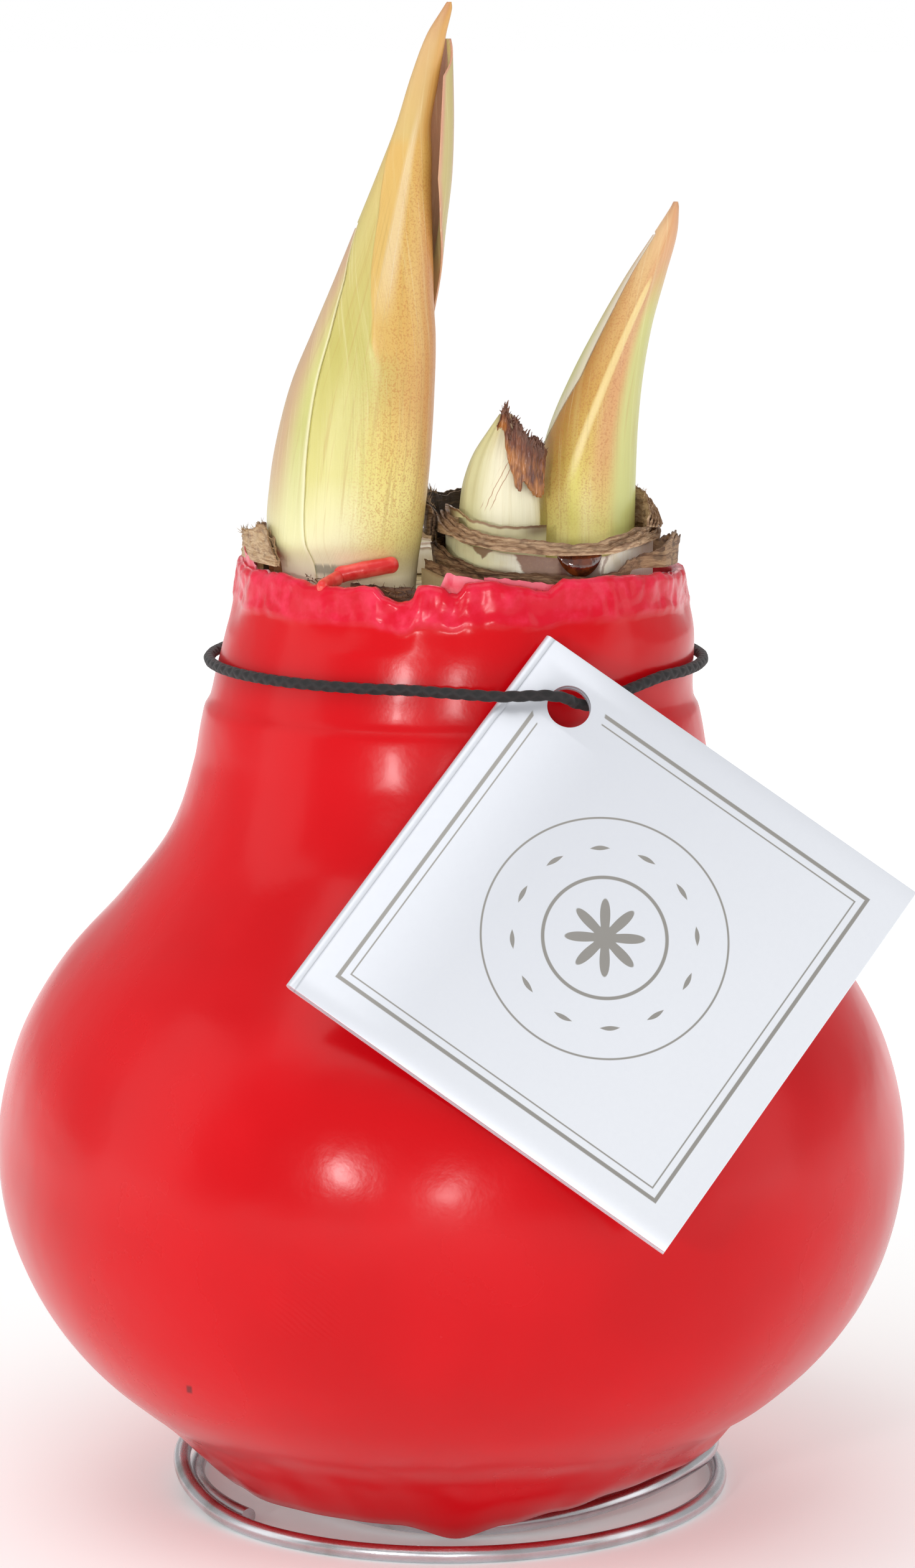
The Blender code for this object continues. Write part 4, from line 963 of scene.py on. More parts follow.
def fleshFinish(name, edgeDark=0.7):  # cut flesh: pale, greener towards the left, browned along its edge
    f = Finish(name, roughness=0.45, specular_ior_level=0.45, coat_weight=0.2, coat_roughness=0.25)
    along, up, below, way = (f.field(k) for k in ("along", "up", "below", "way"))
    vein = f.cloud(1.0, f.point(along * 2.6, up * 0.25, 1.0), detail=4.0, rough=0.6)
    soft = f.cloud(1.0, f.point(along * 0.5, up * 0.5, 9.0), detail=2.0)
    colour = f.mix(f.step(way, -140.0, -95.0), rgb(240, 238, 190), rgb(255, 250, 234))
    colour = f.mix(f.step(soft, 0.45, 0.7) * 0.3, colour, rgb(236, 222, 172))
    colour = f.mix(f.step(vein, 0.5, 0.72) * 0.2, colour, rgb(212, 194, 134))
    edge = (1.0 - f.step(below + soft * 0.3, 0.12, 0.5)) * edgeDark
    colour = f.mix(edge, colour, rgb(150, 104, 62))
    return f, colour, vein, soft


def finishFlesh(f, colour, vein, roughness=0.42):
    f.drive(base_color=colour, roughness=roughness + 0.14 * vein)
    f.drive(normal=f.relief(vein, 0.05, f.relief(f.cloud(0.0006, detail=3.0), 0.03)))
    return f


def fleshyBandFinish():
    f, colour, vein, soft = fleshFinish("fleshyBand", 0.5)
    way, up = f.field("way"), f.field("up")
    ragged = (f.cloud(1.0, f.point(way * 0.16, up * 1.1, 2.0), detail=3.0) - 0.5) * 6.0
    w = way + ragged
    # the photo's patches: a brown triangle, a papery brown patch and the dark field round the amber drop
    triangle = f.between(w, -138.0, -124.0, 1.5) * f.step(up - abs(w + 131.0) * 0.14, 100.9, 101.2)
    papery = f.between(w + (up - 100.5) * 3.0, -108.0, -84.0, 1.2)
    dark = f.between(w, -87.0, -64.0, 2.0)
    line = 1.0 - f.step(abs(w + 62.0 - (up - 100.0) * 3.0), 0.6, 2.0)
    colour = f.mix(triangle * 0.85, colour, rgb(128, 84, 50))
    colour = f.mix(papery * 0.9, colour, rgb(140, 92, 66))
    fibre = f.cloud(1.0, f.point(way * 0.5, up * 3.0, 5.0), detail=4.0, rough=0.7)
    colour = f.mix(papery * f.step(fibre, 0.5, 0.7) * 0.6, colour, rgb(176, 138, 108))
    colour = f.mix(dark * 0.85, colour, rgb(96, 46, 24))
    colour = f.mix(line * 0.6, colour, rgb(120, 60, 26))
    low = (1.0 - f.step(up, 99.8, 100.7)) * f.between(w, -170.0, -112.0, 4.0)
    colour = f.mix(low * 0.7, colour, rgb(132, 92, 54))
    return finishFlesh(f, colour, vein)


def amberFinish():
    f = Finish("amberDrop", roughness=0.08, specular_ior_level=0.7, coat_weight=0.9, coat_roughness=0.04)
    thick = f.cloud(0.0012, detail=3.0)
    colour = f.mix(f.step(thick, 0.35, 0.65), rgb(62, 24, 12), rgb(118, 54, 20))
    f.drive(base_color=colour)
    f.drive(normal=f.relief(thick, 0.12))
    return f


amber = {"from": -88.0, "to": -63.5, "top": 101.8, "foot": 99.5, "proud": 0.65, "reach": 11.02}


def makeAmberDrop():  # dried sap hanging under the papery rim
    rows, n = [], 26
    for i in range(n + 1):
        s = i / n
        way = amber["from"] + (amber["to"] - amber["from"]) * s
        depth = math.sin(math.pi * s) ** 0.6
        low = amber["top"] - (amber["top"] - amber["foot"]) * max(depth, 0.12)
        outer, back = [], []
        for k in range(17):
            t = k / 16.0
            z = low + (amber["top"] - low) * t
            swell = amber["proud"] * depth * math.sin(math.pi * (0.12 + 0.80 * t)) ** 0.7
            outer.append(polar(heart, amber["reach"] + 0.06 + swell, way, z))
            back.append(polar(heart, amber["reach"], way, z))
        rows.append(outer + back[::-1])
    mesh = gridMesh("amberDrop", rows, {}, around=True, sharp=60.0)
    return makePiece("amberDrop", mesh, amberFinish(), [])


def innerFinish():
    f, colour, vein, soft = fleshFinish("innerScale", 0.0)
    up, below, way = f.field("up"), f.field("below"), f.field("way")
    colour = f.mix(0.7, colour, rgb(204, 196, 138))
    edge = 1.0 - f.step(below + soft * 0.25, 0.28, 0.5)
    colour = f.mix(edge * 0.85, colour, rgb(140, 96, 66))
    colour = f.mix((1.0 - f.step(way, -165.0, -140.0)) * 0.8, colour, rgb(110, 74, 44))
    stain = f.step(way, -75.0, -45.0) * f.step(up, 102.6, 103.6)
    colour = f.mix(stain * 0.7, colour, rgb(92, 54, 30))
    return finishFlesh(f, colour, vein)


def makeRoundScales():
    tan, brown, bark, line = rgb(216, 184, 148), rgb(172, 134, 100), rgb(92, 62, 42), rgb(112, 76, 50)
    rimPaper = paperFinish("rimPaper", tan, brown, bark, line)
    makeScale("upperRim", [scaleSheet(upperRim, drop=0.85, shade=-0.3),
                           scaleSheet(upperRim, drop=0.45, inward=0.5, shade=0.4),
                           scaleSheet(upperRim, inward=1.0, thick=0.6, shade=0.0)],
              rimPaper, ["upper_papery_rim"])
    barkPaper = paperFinish("barkPaper", rgb(176, 142, 106), rgb(122, 86, 58), rgb(58, 38, 26),
                            rgb(74, 46, 30))
    makeScale("lowerRim", [scaleSheet(lowerRim, drop=0.15, shade=-0.3), scaleSheet(outerLip, shade=-0.2),
                           scaleSheet(lowerRim, drop=-0.12, inward=0.42, thick=0.3, shade=0.3)],
              barkPaper, ["lower_papery_rim"])
    makeScale("fleshyScale", [scaleSheet(fleshy), scaleSheet(greenBit)], fleshyBandFinish(),
              ["fleshy_scale"])
    makeAmberDrop()
    makeScale("innerScale", [scaleSheet(inner)], innerFinish(), ["inner_scale"])
    greyPaper = paperFinish("greyPaper", rgb(182, 152, 122), rgb(132, 102, 76), rgb(60, 42, 32),
                            rgb(164, 136, 108),
                            hollowShade=rgb(58, 42, 32))
    curlTop = alongTop(curl, 7.8, (-0.2, 0.2), (148.0, 208.0), 0.3, 0.3)
    makeScale("dryCurl", [scaleSheet(curl), scaleSheet(curl, drop=0.3, inward=0.38, shade=-0.6)]
              + fibreTufts(70, 41, curlTop, 0.9, 0.6), greyPaper, ["dry_curl"])

    peakTop = alongTop(peak, 10.2, (-0.2, 0.3), (-4.0, 74.0), 0.35, 0.4)
    makeScale("dryScaleRight", [scaleSheet(peak, drop=1.5, inward=-0.66, shade=-0.4),
                                scaleSheet(peak, drop=1.1, inward=-0.33, shade=0.5),
                                scaleSheet(peak, drop=0.8, shade=-0.2),
                                scaleSheet(peak, drop=0.4, inward=0.3, shade=0.4),
                                scaleSheet(peak, inward=0.6, shade=-0.4)]
              + fibreTufts(60, 43, peakTop, 0.8, 0.5), rimPaper, ["dry_scale_right"])


def makeOuterScales():
    straw = paperFinish("strawPaper", rgb(208, 180, 142), rgb(172, 136, 98), rgb(112, 80, 54),
                        rgb(142, 106, 74))
    brownPlate = paperFinish("brownPlate", rgb(168, 104, 62), rgb(140, 84, 48), rgb(96, 56, 32),
                             rgb(120, 70, 40), 0.3)

    def edgeFibres(spec, count, seed):
        place = alongTop(spec, spec["reach"] - 0.15, (-0.15, 0.15), spec["span"], 0.25, 0.5)
        return fibreTufts(count, seed, place, 0.9, 0.8)

    makeScale("outerScale", [scaleSheet(outerScale)] + edgeFibres(outerScale, 120, 45), straw,
              ["outer_dry_scale"])
    bark = paperFinish("notchBark", rgb(122, 86, 54), rgb(84, 54, 34), rgb(40, 26, 18), rgb(60, 40, 26))

    def crumbs(rng):  # scraps of bark in the gaps of the wax rim
        way, z = rng.choice([(-106.0, 98.4), (-91.0, 98.9), (-69.0, 98.9), (-133.0, 99.4)])
        way += rng.uniform(-4.0, 4.0)
        return polar(neck, rng.uniform(21.5, 21.95), way, z + rng.uniform(-0.3, 0.25)), \
            (rng.uniform(-1.0, 1.0), rng.uniform(-1.0, 0.2), rng.uniform(-0.3, 0.5))

    makeScale("frontScale", [scaleSheet(frontScale)] + edgeFibres(frontScale, 30, 46)
              + fibreTufts(110, 48, crumbs, 0.8, 0.8), bark,
              ["front_dry_scale"])
    makeScale("brownPlate", [scaleSheet(plate)], brownPlate, ["brown_scale_left"])
    makeScale("crinkledScale", [scaleSheet(crinkled), scaleSheet(crinkled, drop=0.5, inward=0.35, shade=0.5)]
              + edgeFibres(crinkled, 60, 47), straw, ["crinkled_scale_left"])
    flesh, colour, vein, _ = fleshFinish("cutFlesh", 0.8)
    finishFlesh(flesh, colour, vein, 0.5)
    makeScale("backLayers", [scaleSheet(backLayers),
                             scaleSheet(backLayers, drop=0.5, inward=1.7, thick=0.5),
                             scaleSheet(backLayers, drop=-0.2, inward=-1.0, thick=0.4)],
              flesh, ["cut_scale_back"])
    makeScale("middleLayers",
              [scaleSheet(middleLayers), scaleSheet(middleLayers, drop=0.4, inward=1.8, thick=0.5)],
              flesh, ["cut_scale_middle"])


makeRoundScales()
makeOuterScales()
print("scales done")


# Leaf stub: the stump of an old leaf and the torn dry skin down its right side

stump = {
    "outline": [(96.95, 1.6, 8.4, 2.9, -5.7), (101.0, 1.3, 8.9, 3.0, -5.7), (104.0, 0.8, 9.2, 3.0, -5.7),
                (106.5, 0.9, 9.1, 2.8, -5.7), (108.7, 1.3, 8.8, 2.5, -5.7), (111.3, 2.3, 8.1, 2.0, -5.7),
                (113.9, 4.0, 7.1, 1.4, -5.7), (115.3, 5.0, 6.2, 0.6, -5.7)],
    "skin": [(106.0, 0.9, 8.9, 2.9, -5.7), (110.0, 1.3, 8.7, 2.5, -5.7), (113.0, 2.4, 8.4, 2.2, -5.7),
             (116.5, 3.6, 7.8, 1.8, -5.7)],
    "skinTop": [(-104, 114.4), (-97, 115.6), (-90, 116.4), (-85, 115.4), (-79, 113.5), (-75, 114.9),
                (-65, 114.5),
                (-60, 113.9), (-52, 113.3), (-45, 113.0), (-33, 112.7), (-15, 112.0), (12, 111.5)],
    "skinFoot": [(-104, 113.9), (-97, 114.2), (-90, 113.4), (-85, 112.0), (-78, 110.4), (-72, 109.3),
                 (-67, 107.9),
                 (-62, 107.7), (-56, 108.5), (-50, 108.3), (-42, 107.6), (-34, 107.1), (-18, 106.8),
                 (12, 107.8)],
}


def stumpFinish():
    f = Finish("leafStump", roughness=0.4, specular_ior_level=0.45, coat_weight=0.15, coat_roughness=0.3)
    side, up, across = f.field("side"), f.field("up"), f.field("across")
    vein = f.cloud(1.0, f.point(across * 3.4, up * 0.10, 0.0), detail=4.0, rough=0.6)
    soft = f.cloud(1.0, f.point(across * 0.6, up * 0.12, 3.0), detail=2.0)
    colour = f.ramp((up - 100.0) / 15.3, [(0.0, rgb(232, 224, 172)), (0.3, rgb(246, 240, 208)),
                                          (0.7, rgb(246, 240, 210)), (1.0, rgb(224, 208, 162))])
    green = (1.0 - f.step(side, 0.1, 0.5)) * f.step(up, 100.0, 105.0)
    colour = f.mix(green * 0.7, colour, rgb(208, 206, 142))
    colour = f.mix(f.step(vein, 0.5, 0.7) * 0.25, colour, rgb(206, 190, 136))
    lean = f.field("x") - 3.45 - (up - 106.3) * 0.5
    wobble = f.cloud(1.0, f.point(f.field("x") * 0.5, up * 0.5, 8.0), detail=2.0) * 9.0
    streaks = f.step((lean * 11.0 + wobble).sine(), 0.72, 1.0) * f.between(lean, -0.2, 0.95, 0.1)
    streaks = streaks * f.between(up, 105.8, 110.6, 0.6)
    colour = f.mix(streaks * 0.75, colour, rgb(168, 104, 50))
    rim = f.step(up + (side - 0.5) * 2.0, 113.2, 115.0)
    colour = f.mix(rim * 0.7, colour, rgb(128, 84, 62))
    f.drive(base_color=colour, roughness=0.36 + 0.14 * vein)
    f.drive(normal=f.relief(vein, 0.05))
    return f


def skinFinish():
    f = Finish("tornSkin", specular_ior_level=0.5, coat_weight=0.4, coat_roughness=0.22)
    across, up, above = f.field("across"), f.field("up"), f.field("above")
    fibre = f.cloud(1.0, f.point(across * 3.2, up * 0.22, 0.0), detail=5.0, rough=0.7)
    blotch = f.cloud(1.0, f.point(across * 0.8, up * 0.5, 4.0), detail=3.0)
    colour = f.ramp(fibre, [(0.3, rgb(64, 26, 16)), (0.5, rgb(112, 56, 30)), (0.7, rgb(160, 98, 56))])
    caramel = (1.0 - f.step(above, 0.25, 0.7)) * f.step(blotch + fibre * 0.4, 0.5, 0.8)
    colour = f.mix(caramel * 0.85, colour, rgb(192, 122, 56))
    crumb = f.step(above + blotch * 0.3, 0.85, 1.05)
    colour = f.mix(crumb * 0.7, colour, rgb(104, 72, 58))
    f.drive(base_color=colour, roughness=0.3 + 0.4 * f.step(above, 0.3, 0.9))
    f.drive(normal=f.relief(fibre, 0.14, f.relief(f.cloud(0.0004, detail=3.0), 0.05)))
    return f


def makeStump():
    around = 110
    rows, fields = [], {"side": [], "up": [], "across": [], "x": []}
    for z in levelsOf(stump["outline"], count=70):
        row = rowAt(stump["outline"], z)
        crease = 0.12 * blend([(104.0, 0.0), (108.0, 1.0)], z)
        ring = []
        for i in range(around):
            way = -180.0 + 360.0 * i / around
            ring.append(onOval(row, z, way, crease * wander(way * 0.06, z * 0.06, 4.0, 1.0, 2)))
        rows.append(ring)
        fields["side"].append([(p[0] - row[0]) / (row[1] - row[0]) for p in ring])
        fields["up"].append([z] * around)
        fields["across"].append([math.radians(-180.0 + 360.0 * i / around) * 3.2 for i in range(around)])
        fields["x"].append([p[0] for p in ring])
    mesh = gridMesh("leafStump", rows, fields, around=True, sharp=60.0)
    makePiece("leafStump", mesh, stumpFinish(), ["leaf_stub"])


def makeTornSkin():
    columns, levels, thick = 230, 26, 0.3
    rows, fields = [], {"across": [], "up": [], "above": []}
    for i in range(columns):
        way = -104.0 + 116.0 * i / (columns - 1)
        tear = 0.55 * wander(way * 0.09, 1.0, 0.0, 0.6, 3) + 0.5 * wander(way * 0.09, 7.0, 0.0, 0.16, 2)
        top = blend(stump["skinTop"], way) + tear * blend([(-104, 0.3), (-80, 1.0), (12, 1.1)], way)
        low = blend(stump["skinFoot"], way) + 0.4 * wander(way * 0.09, 13.0, 0.0, 0.35, 3)
        top = max(top, low + 0.25)
        outer, inside, above = [], [], []
        for k in range(levels + 1):
            t = k / levels
            z = low + (top - low) * t
            row = rowAt(stump["skin"], min(max(z, 106.0), 116.5))
            crinkle = 0.22 * wander(way * 0.09, z * 0.25, 3.0, 0.5, 3) + 0.35 * t * t * wander(way * 0.09, z,
                                                                                               9.0, 0.9, 2)
            proud = 0.4 + 0.35 * t + crinkle
            outer.append(onOval(row, z, way, -(proud + thick)))
            inside.append(onOval(row, z, way, -proud))
            above.append(t)
        rows.append(outer + inside[::-1])
        fields["across"].append([math.radians(way) * 4.0] * (2 * levels + 2))
        fields["up"].append([p[2] for p in rows[-1]])
        fields["above"].append(above + above[::-1])
    grids = [(rows, fields, False)]

    rng = random.Random(51)
    for _ in range(120):  # crumbs and broken fibres along the torn top
        way = rng.uniform(-98.0, 10.0)
        z = blend(stump["skinTop"], way) + rng.uniform(-0.7, 0.1)
        root = Vector(onOval(rowAt(stump["skin"], min(z, 116.5)), z, way, -0.8 + rng.uniform(-0.25, 0.25)))
        lead = Vector((rng.uniform(-0.7, 0.7), rng.uniform(-0.6, 0.3), 1.0)).normalized()
        side = lead.orthogonal().normalized()
        size, reach = rng.uniform(0.08, 0.2), rng.uniform(0.3, 0.85)
        bits = []
        for k in range(4):
            t = k / 3.0
            r = size * (1.0 - 0.75 * t) * (1.0 + 0.5 * rng.uniform(-1.0, 1.0))
            middle = root + lead * reach * t + side * 0.25 * reach * t * t * rng.uniform(-1.0, 1.0)
            bits.append([tuple(middle + (side * math.cos(a) + lead.cross(side) * math.sin(a)) * r)
                         for a in (0.0, 1.26, 2.5, 3.8, 5.0)])
        grids.append((bits, {"across": [[way * 0.07] * 5] * 4, "up": [[p[2] for p in b] for b in bits],
                             "above": [[1.0] * 5] * 4}, False))
    makePiece("tornSkin", joinGrids("tornSkin", grids, 60.0), skinFinish(),
              ["stub_dry_skin"])


makeStump()
makeTornSkin()
print("stump done")


# Wax smear: a sausage of wax that set on the foot of the tall shoot, run down to the rim

smear = {"points": [(-11.9, 99.5), (-11.0, 99.8), (-9.0, 100.2), (-7.0, 100.5), (-5.4, 100.7)],
         "radius": 0.85}


def capsule(path, radius, flatten=1.0):
    # a rounded rod: full along its length, closing smoothly at both ends
    path = [Vector(p) for p in path]
    line = []
    for k in range(len(path) - 1):
        for j in range(12):
            line.append(path[k].lerp(path[k + 1], j / 12.0))
    line.append(path[-1])
    total = sum((b - a).length for a, b in zip(line, line[1:]))
    rows, run = [], 0.0
    for k, middle in enumerate(line):
        run += (middle - line[k - 1]).length if k else 0.0
        end = min(run, total - run) / radius
        r = radius * (math.sqrt(max(1.0 - (1.0 - min(end, 1.0)) ** 2, 0.0)) + 0.02)
        r *= 1.0 + 0.10 * wander(middle.x, middle.y, middle.z, 1.6, 2)
        ahead = (line[min(k + 1, len(line) - 1)] - line[max(k - 1, 0)]).normalized()
        up = (Vector((0.0, 0.0, 1.0)) - ahead * ahead.z).normalized()
        side = ahead.cross(up)
        rows.append([tuple(middle + (up * math.cos(a) + side * math.sin(a) * flatten) * r)
                     for a in [2.0 * math.pi * i / 28 for i in range(28)]])
    return rows


def makeSmear():
    points = []
    for x, z in smear["points"]:
        row = rowAt(tall["outline"], z)
        half, middle = (row[1] - row[0]) / 2.0, (row[0] + row[1]) / 2.0
        away = smear["radius"] + 0.32
        y = row[3] - (row[2] + away) * math.sqrt(max(0.0, 1.0 - ((x - middle) / (half + away)) ** 2))
        points.append((x, y, z))
    tail = [(-11.2, -15.3, 99.55), (-12.2, -16.6, 99.2), (-12.9, -17.9, 98.9), (-13.2, -18.8, 98.6)]
    grids = [(capsule(points, smear["radius"], 0.9), {}, False), (capsule(tail, 0.75, 0.8), {}, False)]
    for rows, fields, _ in grids:
        fields["rise"] = [[90.0] * len(row) for row in rows]
    f = Finish("smearWax", roughness=0.3, specular_ior_level=0.4, coat_weight=0.15, coat_roughness=0.2)
    soft = f.cloud(0.0012, detail=3.0)
    f.drive(base_color=f.mix(f.step(soft, 0.35, 0.7), rgb(222, 44, 44), rgb(236, 84, 74)))
    f.drive(normal=f.relief(soft, 0.08))
    makePiece("waxSmear", joinGrids("waxSmear", grids, 80.0), f, ["wax_smear"])


shards = [
    {"middle": neck, "columns": 90, "levels": 10, "seed": 31, "thick": 0.22, "torn": 0.7, "wave": 0.35,
     "reach": 22.7,
     "span": (176.0, 204.0), "foot": 98.6,
     "top": [(-180, 101.2), (-174, 101.9), (-168, 101.3), (-162, 100.6), (-156, 99.8), (176, 100.6),
             (180, 101.2)]},
    {"middle": neck, "columns": 60, "levels": 8, "seed": 32, "thick": 0.25, "torn": 0.35, "wave": 0.25,
     "reach": 22.35,
     "span": (-95.5, -82.0), "foot": 98.4, "top": [(-96, 99.2), (-93.5, 100.9), (-90, 100.3), (-82, 100.1)]},
    {"middle": neck, "columns": 70, "levels": 8, "seed": 33, "thick": 0.22, "torn": 0.25, "wave": 0.2,
     "reach": 22.1,
     "span": (-84.0, -64.0), "foot": 98.2, "top": [(-84, 100.3), (-75, 99.9), (-64, 99.3)]},
]


def makeShards():  # thin torn strips of wax standing inside the rim
    f = Finish("thinWax", roughness=0.35, specular_ior_level=0.4, coat_weight=0.1, coat_roughness=0.25)
    soft = f.cloud(0.0016, detail=3.0)
    thin = 1.0 - f.step(f.field("below"), 0.2, 1.2)
    colour = f.mix(f.step(soft, 0.35, 0.7), rgb(206, 24, 50), rgb(226, 60, 84))
    f.drive(base_color=f.mix(thin * 0.7, colour, rgb(226, 120, 136)))
    f.drive(normal=f.relief(soft, 0.08))
    makeScale("waxShards", [scaleSheet(shard) for shard in shards], f, [])


makeSmear()
makeShards()
print("smear done")


# Bulb: only its cut top shows between the scales, in rings

def bulbFinish():
    f = Finish("bulbFlesh", roughness=0.5, specular_ior_level=0.4)
    x, y, _ = f.coordinates()
    x = x - neck[0]
    wobble = f.cloud(0.006, detail=2.0) * 1.4
    radius = (x * x + y * y) ** 0.5 + wobble
    rings = f.step((radius * 2.4).sine(), 0.75, 1.0)
    soft = f.cloud(0.003, detail=3.0)
    colour = f.mix(f.step(soft, 0.4, 0.7), rgb(214, 196, 150), rgb(184, 150, 100))
    colour = f.mix(rings * 0.8, colour, rgb(122, 86, 54))
    f.drive(base_color=colour, roughness=0.5 + 0.2 * soft)
    f.drive(normal=f.relief(rings, 0.15, f.relief(soft, 0.1)))
    return f


bulbNode = bpy.data.objects["bulb"]
bulbNode.data.materials.clear()
bulbNode.data.materials.append(bulbFinish().material)
print("bulb done")


# Tag: a folded card, its fold along the upper left edge, with a plain printed pattern of its own

card = {
    "side": 45.0, "sheet": 0.45, "slot": 0.4, "hole": 4.4, "holeAt": (6.1, 4.95),
    "holePlace": (11.7, -27.0, 87.7),
    "tilt": 26.0, "turn": 7.0, "spin": 38.0, "creaseAt": 1.0, "creaseDeep": 0.05, "edge": 0.05,
}
printed = {  # half widths of the frame lines and radii of the rings, each with how soft its edge is
    "frame": [(18.7, 19.1, 0.05), (17.9, 18.05, 0.04)], "rings": [(6.0, 6.35, 0.05), (12.2, 12.4, 0.05)],
    "clearOfHole": 3.6, "dots": 12.0, "dotRing": 9.2, "petals": 8.0, "petalReach": 2.6, "petalSwing": 1.4,
}


def cardFrame():
    turn, tilt, spin = (math.radians(card[k]) for k in ("turn", "tilt", "spin"))
    level = Vector((math.cos(turn), math.sin(turn), 0.0))
    face = Vector((math.sin(turn) * math.cos(tilt), -math.cos(turn) * math.cos(tilt), math.sin(tilt)))
    down = face.cross(level)
    down = down if down.z < 0.0 else -down
    right = level * math.cos(spin) + down * math.sin(spin)
    left = -level * math.sin(spin) + down * math.cos(spin)
    corner = Vector(card["holePlace"]) - right * card["holeAt"][0] - left * card["holeAt"][1]
    return corner, right, left, face


def cardOutline():  # the folded card's edge as (across, out), from the front sheet's free edge round the fold
    half = card["sheet"] + card["slot"] / 2.0
    slot, soft, side = card["slot"] / 2.0, card["edge"], card["side"]
    line = [(side - soft, half), (side, half - soft), (side, slot + soft), (side - soft, slot)]
    for k in range(9):
        turn = math.radians(90.0 + 22.5 * k)
        line.append((half + slot * math.cos(turn), slot * math.sin(turn)))
    line += [(side - soft, -slot), (side, -slot - soft), (side, -half + soft), (side - soft, -half)]
    spots = [36.0, 24.0, 12.0]
    line += [(x, -half) for x in spots]
    for k in range(13):
        turn = math.radians(270.0 - 15.0 * k)
        line.append((half + half * math.cos(turn), half * math.sin(turn)))
    line += [(half + 0.2, half), (card["creaseAt"] - 0.12, half),
             (card["creaseAt"], half - card["creaseDeep"]),
             (card["creaseAt"] + 0.12, half)]
    return line + [(x, half) for x in spots[::-1]]


def cardFinish():
    f = Finish("silverCard", metallic=0.35, coat_weight=0.3, coat_roughness=0.2)
    corner, right, left, face = cardFrame()
    x, y, z = f.coordinates()

    def along(way):
        return x * way.x + y * way.y + z * way.z - corner.dot(way)

    u, v = along(right), along(left)
    front = f.step(along(face), card["slot"], card["slot"] + 0.1)
    grain = f.cloud(0.0006, detail=3.0)
    # painted sheen: the silver face is drawn lighter towards its far corners, away from the hole
    paintedSheen = f.step(u + v * 0.4, 0.0, 58.0)
    silver = f.mix(paintedSheen, rgb(214, 217, 224), rgb(236, 239, 245))
    # painted shade: a darker line along the crease
    silver = f.mix((1.0 - f.step(abs(u - card["creaseAt"]), 0.02, 0.16)) * 0.5, silver, rgb(168, 170, 178))
    silver = f.mix(grain * 0.1, silver, rgb(200, 203, 212))
    # two frame lines, two rings, a ring of dots and a flower, all of them plain shapes
    middle = card["side"] / 2.0
    du, dv = u - middle, v - middle
    square = f.maths("MAXIMUM", abs(du), abs(dv))
    hu, hv = u - card["holeAt"][0], v - card["holeAt"][1]
    fromHole, clear = (hu * hu + hv * hv) ** 0.5, printed["clearOfHole"]
    wide, thin = (f.between(square, *line) for line in printed["frame"])
    lines = (wide + thin) * f.step(fromHole, clear, clear + 0.2)
    radius = (du * du + dv * dv) ** 0.5
    angle = f.maths("ARCTAN2", dv, du)
    spacing = (angle * printed["dots"]).sine() * 0.5 + 0.5
    dots = 1.0 - f.step(spacing + abs(radius - printed["dotRing"]) * 1.6, 0.32, 0.42)
    small, large = (f.between(radius, *ring) for ring in printed["rings"])
    tips = printed["petalReach"] + printed["petalSwing"] * (angle * printed["petals"]).sine()
    petals = 1.0 - f.step(radius - tips, -0.1, 0.1)
    ink = (lines + dots + (small + large) + petals) * front
    colour = f.mix(f.maths("MINIMUM", ink, 1.0), silver, rgb(150, 147, 142))
    f.drive(base_color=colour, roughness=0.34 + 0.08 * grain)
    f.drive(normal=f.relief(grain, 0.006))
    return f


def makeTag():
    corner, right, left, face = cardFrame()
    line = cardOutline()
    half = card["sheet"] + card["slot"] / 2.0
    rows = []
    downs = [0.0, card["edge"]] + [card["side"] * k / 24.0 for k in range(1, 24)] + [
        card["side"] - card["edge"], card["side"]]
    for k, down in enumerate(downs):
        pull = card["edge"] if k in (0, len(downs) - 1) else 0.0
        ring = []
        for across, out in line:
            out = out - math.copysign(pull, out) * 0.5 if abs(out) > half - 0.01 else out
            ring.append(tuple(corner + right * across + left * down + face * out))
        rows.append(ring)
    mesh = gridMesh("tag", rows, {}, around=True, sharp=35.0)
    piece = makePiece("tag", mesh, cardFinish(), ["tag"])
    bpy.ops.mesh.primitive_cylinder_add(vertices=64, radius=card["hole"] / 2.0 * mm, depth=8.0 * mm)
    drill = bpy.context.object
    drill.location = (Vector(card["holePlace"]) + axis) * mm
    drill.rotation_euler = face.to_track_quat("Z", "Y").to_euler()
    work = piece.modifiers.new("hole", "BOOLEAN")
    work.operation = "DIFFERENCE"
    work.object = drill
    bpy.context.view_layer.update()
    cut = bpy.data.meshes.new_from_object(piece.evaluated_get(bpy.context.evaluated_depsgraph_get()))
    piece.modifiers.clear()
    piece.data = cut
    bpy.data.objects.remove(drill, do_unlink=True)


makeTag()
print("tag done")


# Elastic loop: woven round cord, level round the neck, over the tag's face and through its hole

elastic = {"width": 1.2, "height": 89.3, "radius": 25.9, "middle": (0.5, 0.0), "leaves": -100.0,
           "returns": -36.0,
           "strands": 6, "weave": 0.045, "pitch": 1.7}


